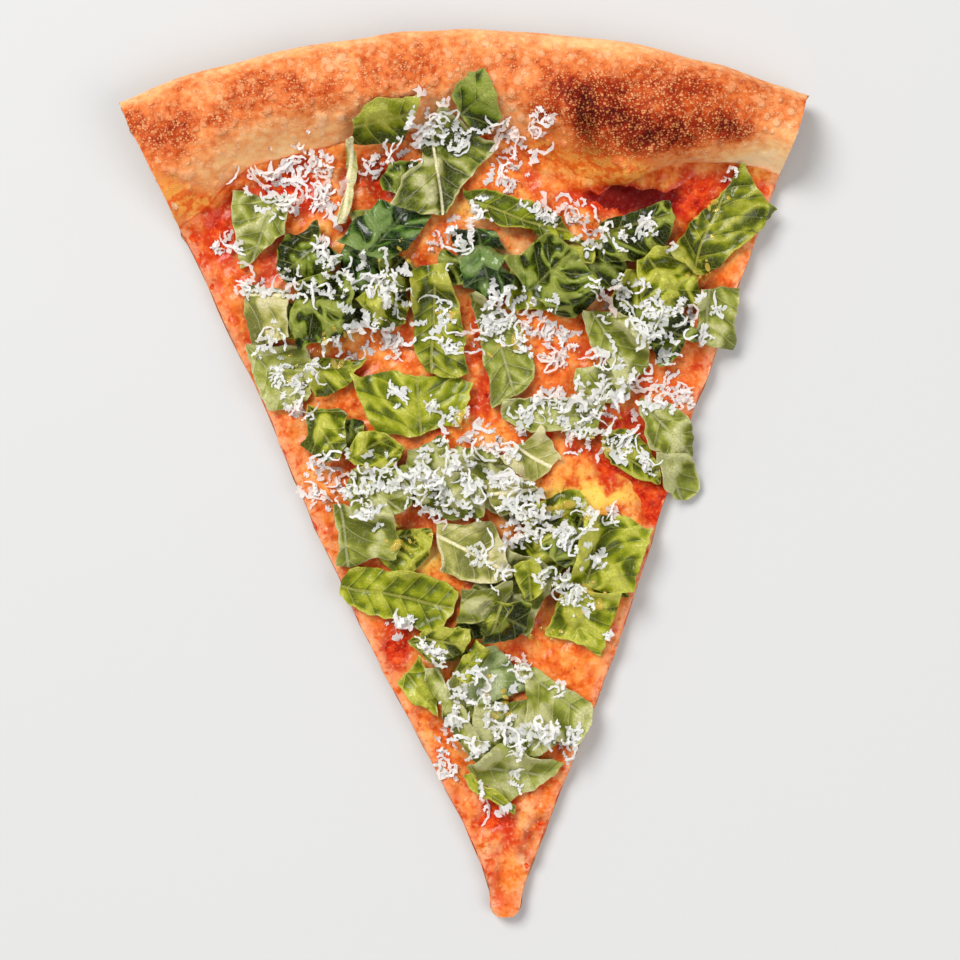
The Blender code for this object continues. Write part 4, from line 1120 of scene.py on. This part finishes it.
pile.bare = pile.heights.copy()
pile.leafy = pile.bare > pile.plain + LEAF_THICKNESS
draw = np.random.default_rng(77)
shavings = strewn("cheese_shavings", HEAPS, draw, 4.4 * MM, 1.35 * MM, 0.05 * MM, 1.8, 0.2, 0.4, 0.30, 0.7)
finished(shavings, cheese_finish("thin_hard_cheese", 0.85), "grated_cheese")
parmesan = cheese_finish("grated_hard_cheese", 1.0)
curls = strewn("cheese_curls", HEAPS, draw, 5.2 * MM, 0.8 * MM, 0.06 * MM, 3.0, 0.35, 0.6, 0.38, 0.55)
finished(curls, parmesan, "grated_cheese")
crumbs = strewn("cheese_crumbs", HEAPS, draw, 1.8 * MM, 0.85 * MM, 0.08 * MM, 1.0, 0.4, 0.7, 0.42, 0.7)
finished(crumbs, parmesan, "grated_cheese")


# ------------------------------------------------------------------------------------------------
# Studio. A plain pale floor, one broad soft light from the upper left and a weak fill, and a camera
# that looks straight down.
# ------------------------------------------------------------------------------------------------
CAMERA_X, CAMERA_Y = -2.5 * MM, -1.35 * MM
CAMERA_TURN = math.radians(2.93)
LENS, SENSOR = 85, 36
FIELD_WIDTH = 264 * MM
TOPPING_HEIGHT = 6 * MM

bpy.ops.object.select_all(action="DESELECT")
bpy.ops.mesh.primitive_plane_add(size=4, location=(0, 0, 0))
floor = bpy.context.object
floor.name = "floor"
table = Finish("pale_floor")
table.wear(Base_Color=table.mix(table.cloud(0.3, 2.0), (0.62, 0.62, 0.618, 1), (0.64, 0.64, 0.638, 1)),
           Roughness=0.6 + 0.1 * table.cloud(0.05, 2.0))
floor.data.materials.append(table.material)


def soft_light(name, place, size, power, colour):
    """A square light at a place, turned to face the middle of the slice."""
    bpy.ops.object.light_add(type="AREA", location=place)
    light = bpy.context.object
    light.name = name
    light.data.size = size
    light.data.energy = power
    light.data.color = colour
    light.rotation_euler = (-light.location).to_track_quat("-Z", "Y").to_euler()
    return light


soft_light("window", (-1.3, 1.6, 2.6), 1.5, 98, (1.0, 0.99, 0.98))
soft_light("fill", (1.8, -1.2, 2.2), 2.0, 36, (0.97, 0.985, 1.0))
world = bpy.data.worlds.new("studio")
world.use_nodes = True
world.node_tree.nodes["Background"].inputs["Color"].default_value = (1.0, 1.0, 1.0, 1)
world.node_tree.nodes["Background"].inputs["Strength"].default_value = 0.4
bpy.context.scene.world = world
bpy.context.scene.view_settings.view_transform = "Standard"

distance = FIELD_WIDTH * LENS / SENSOR
bpy.ops.object.camera_add(location=(CAMERA_X, CAMERA_Y, TOPPING_HEIGHT + distance),
                          rotation=(0, 0, -CAMERA_TURN))
camera = bpy.context.object
camera.data.lens = LENS
camera.data.sensor_width = SENSOR
bpy.context.scene.camera = camera
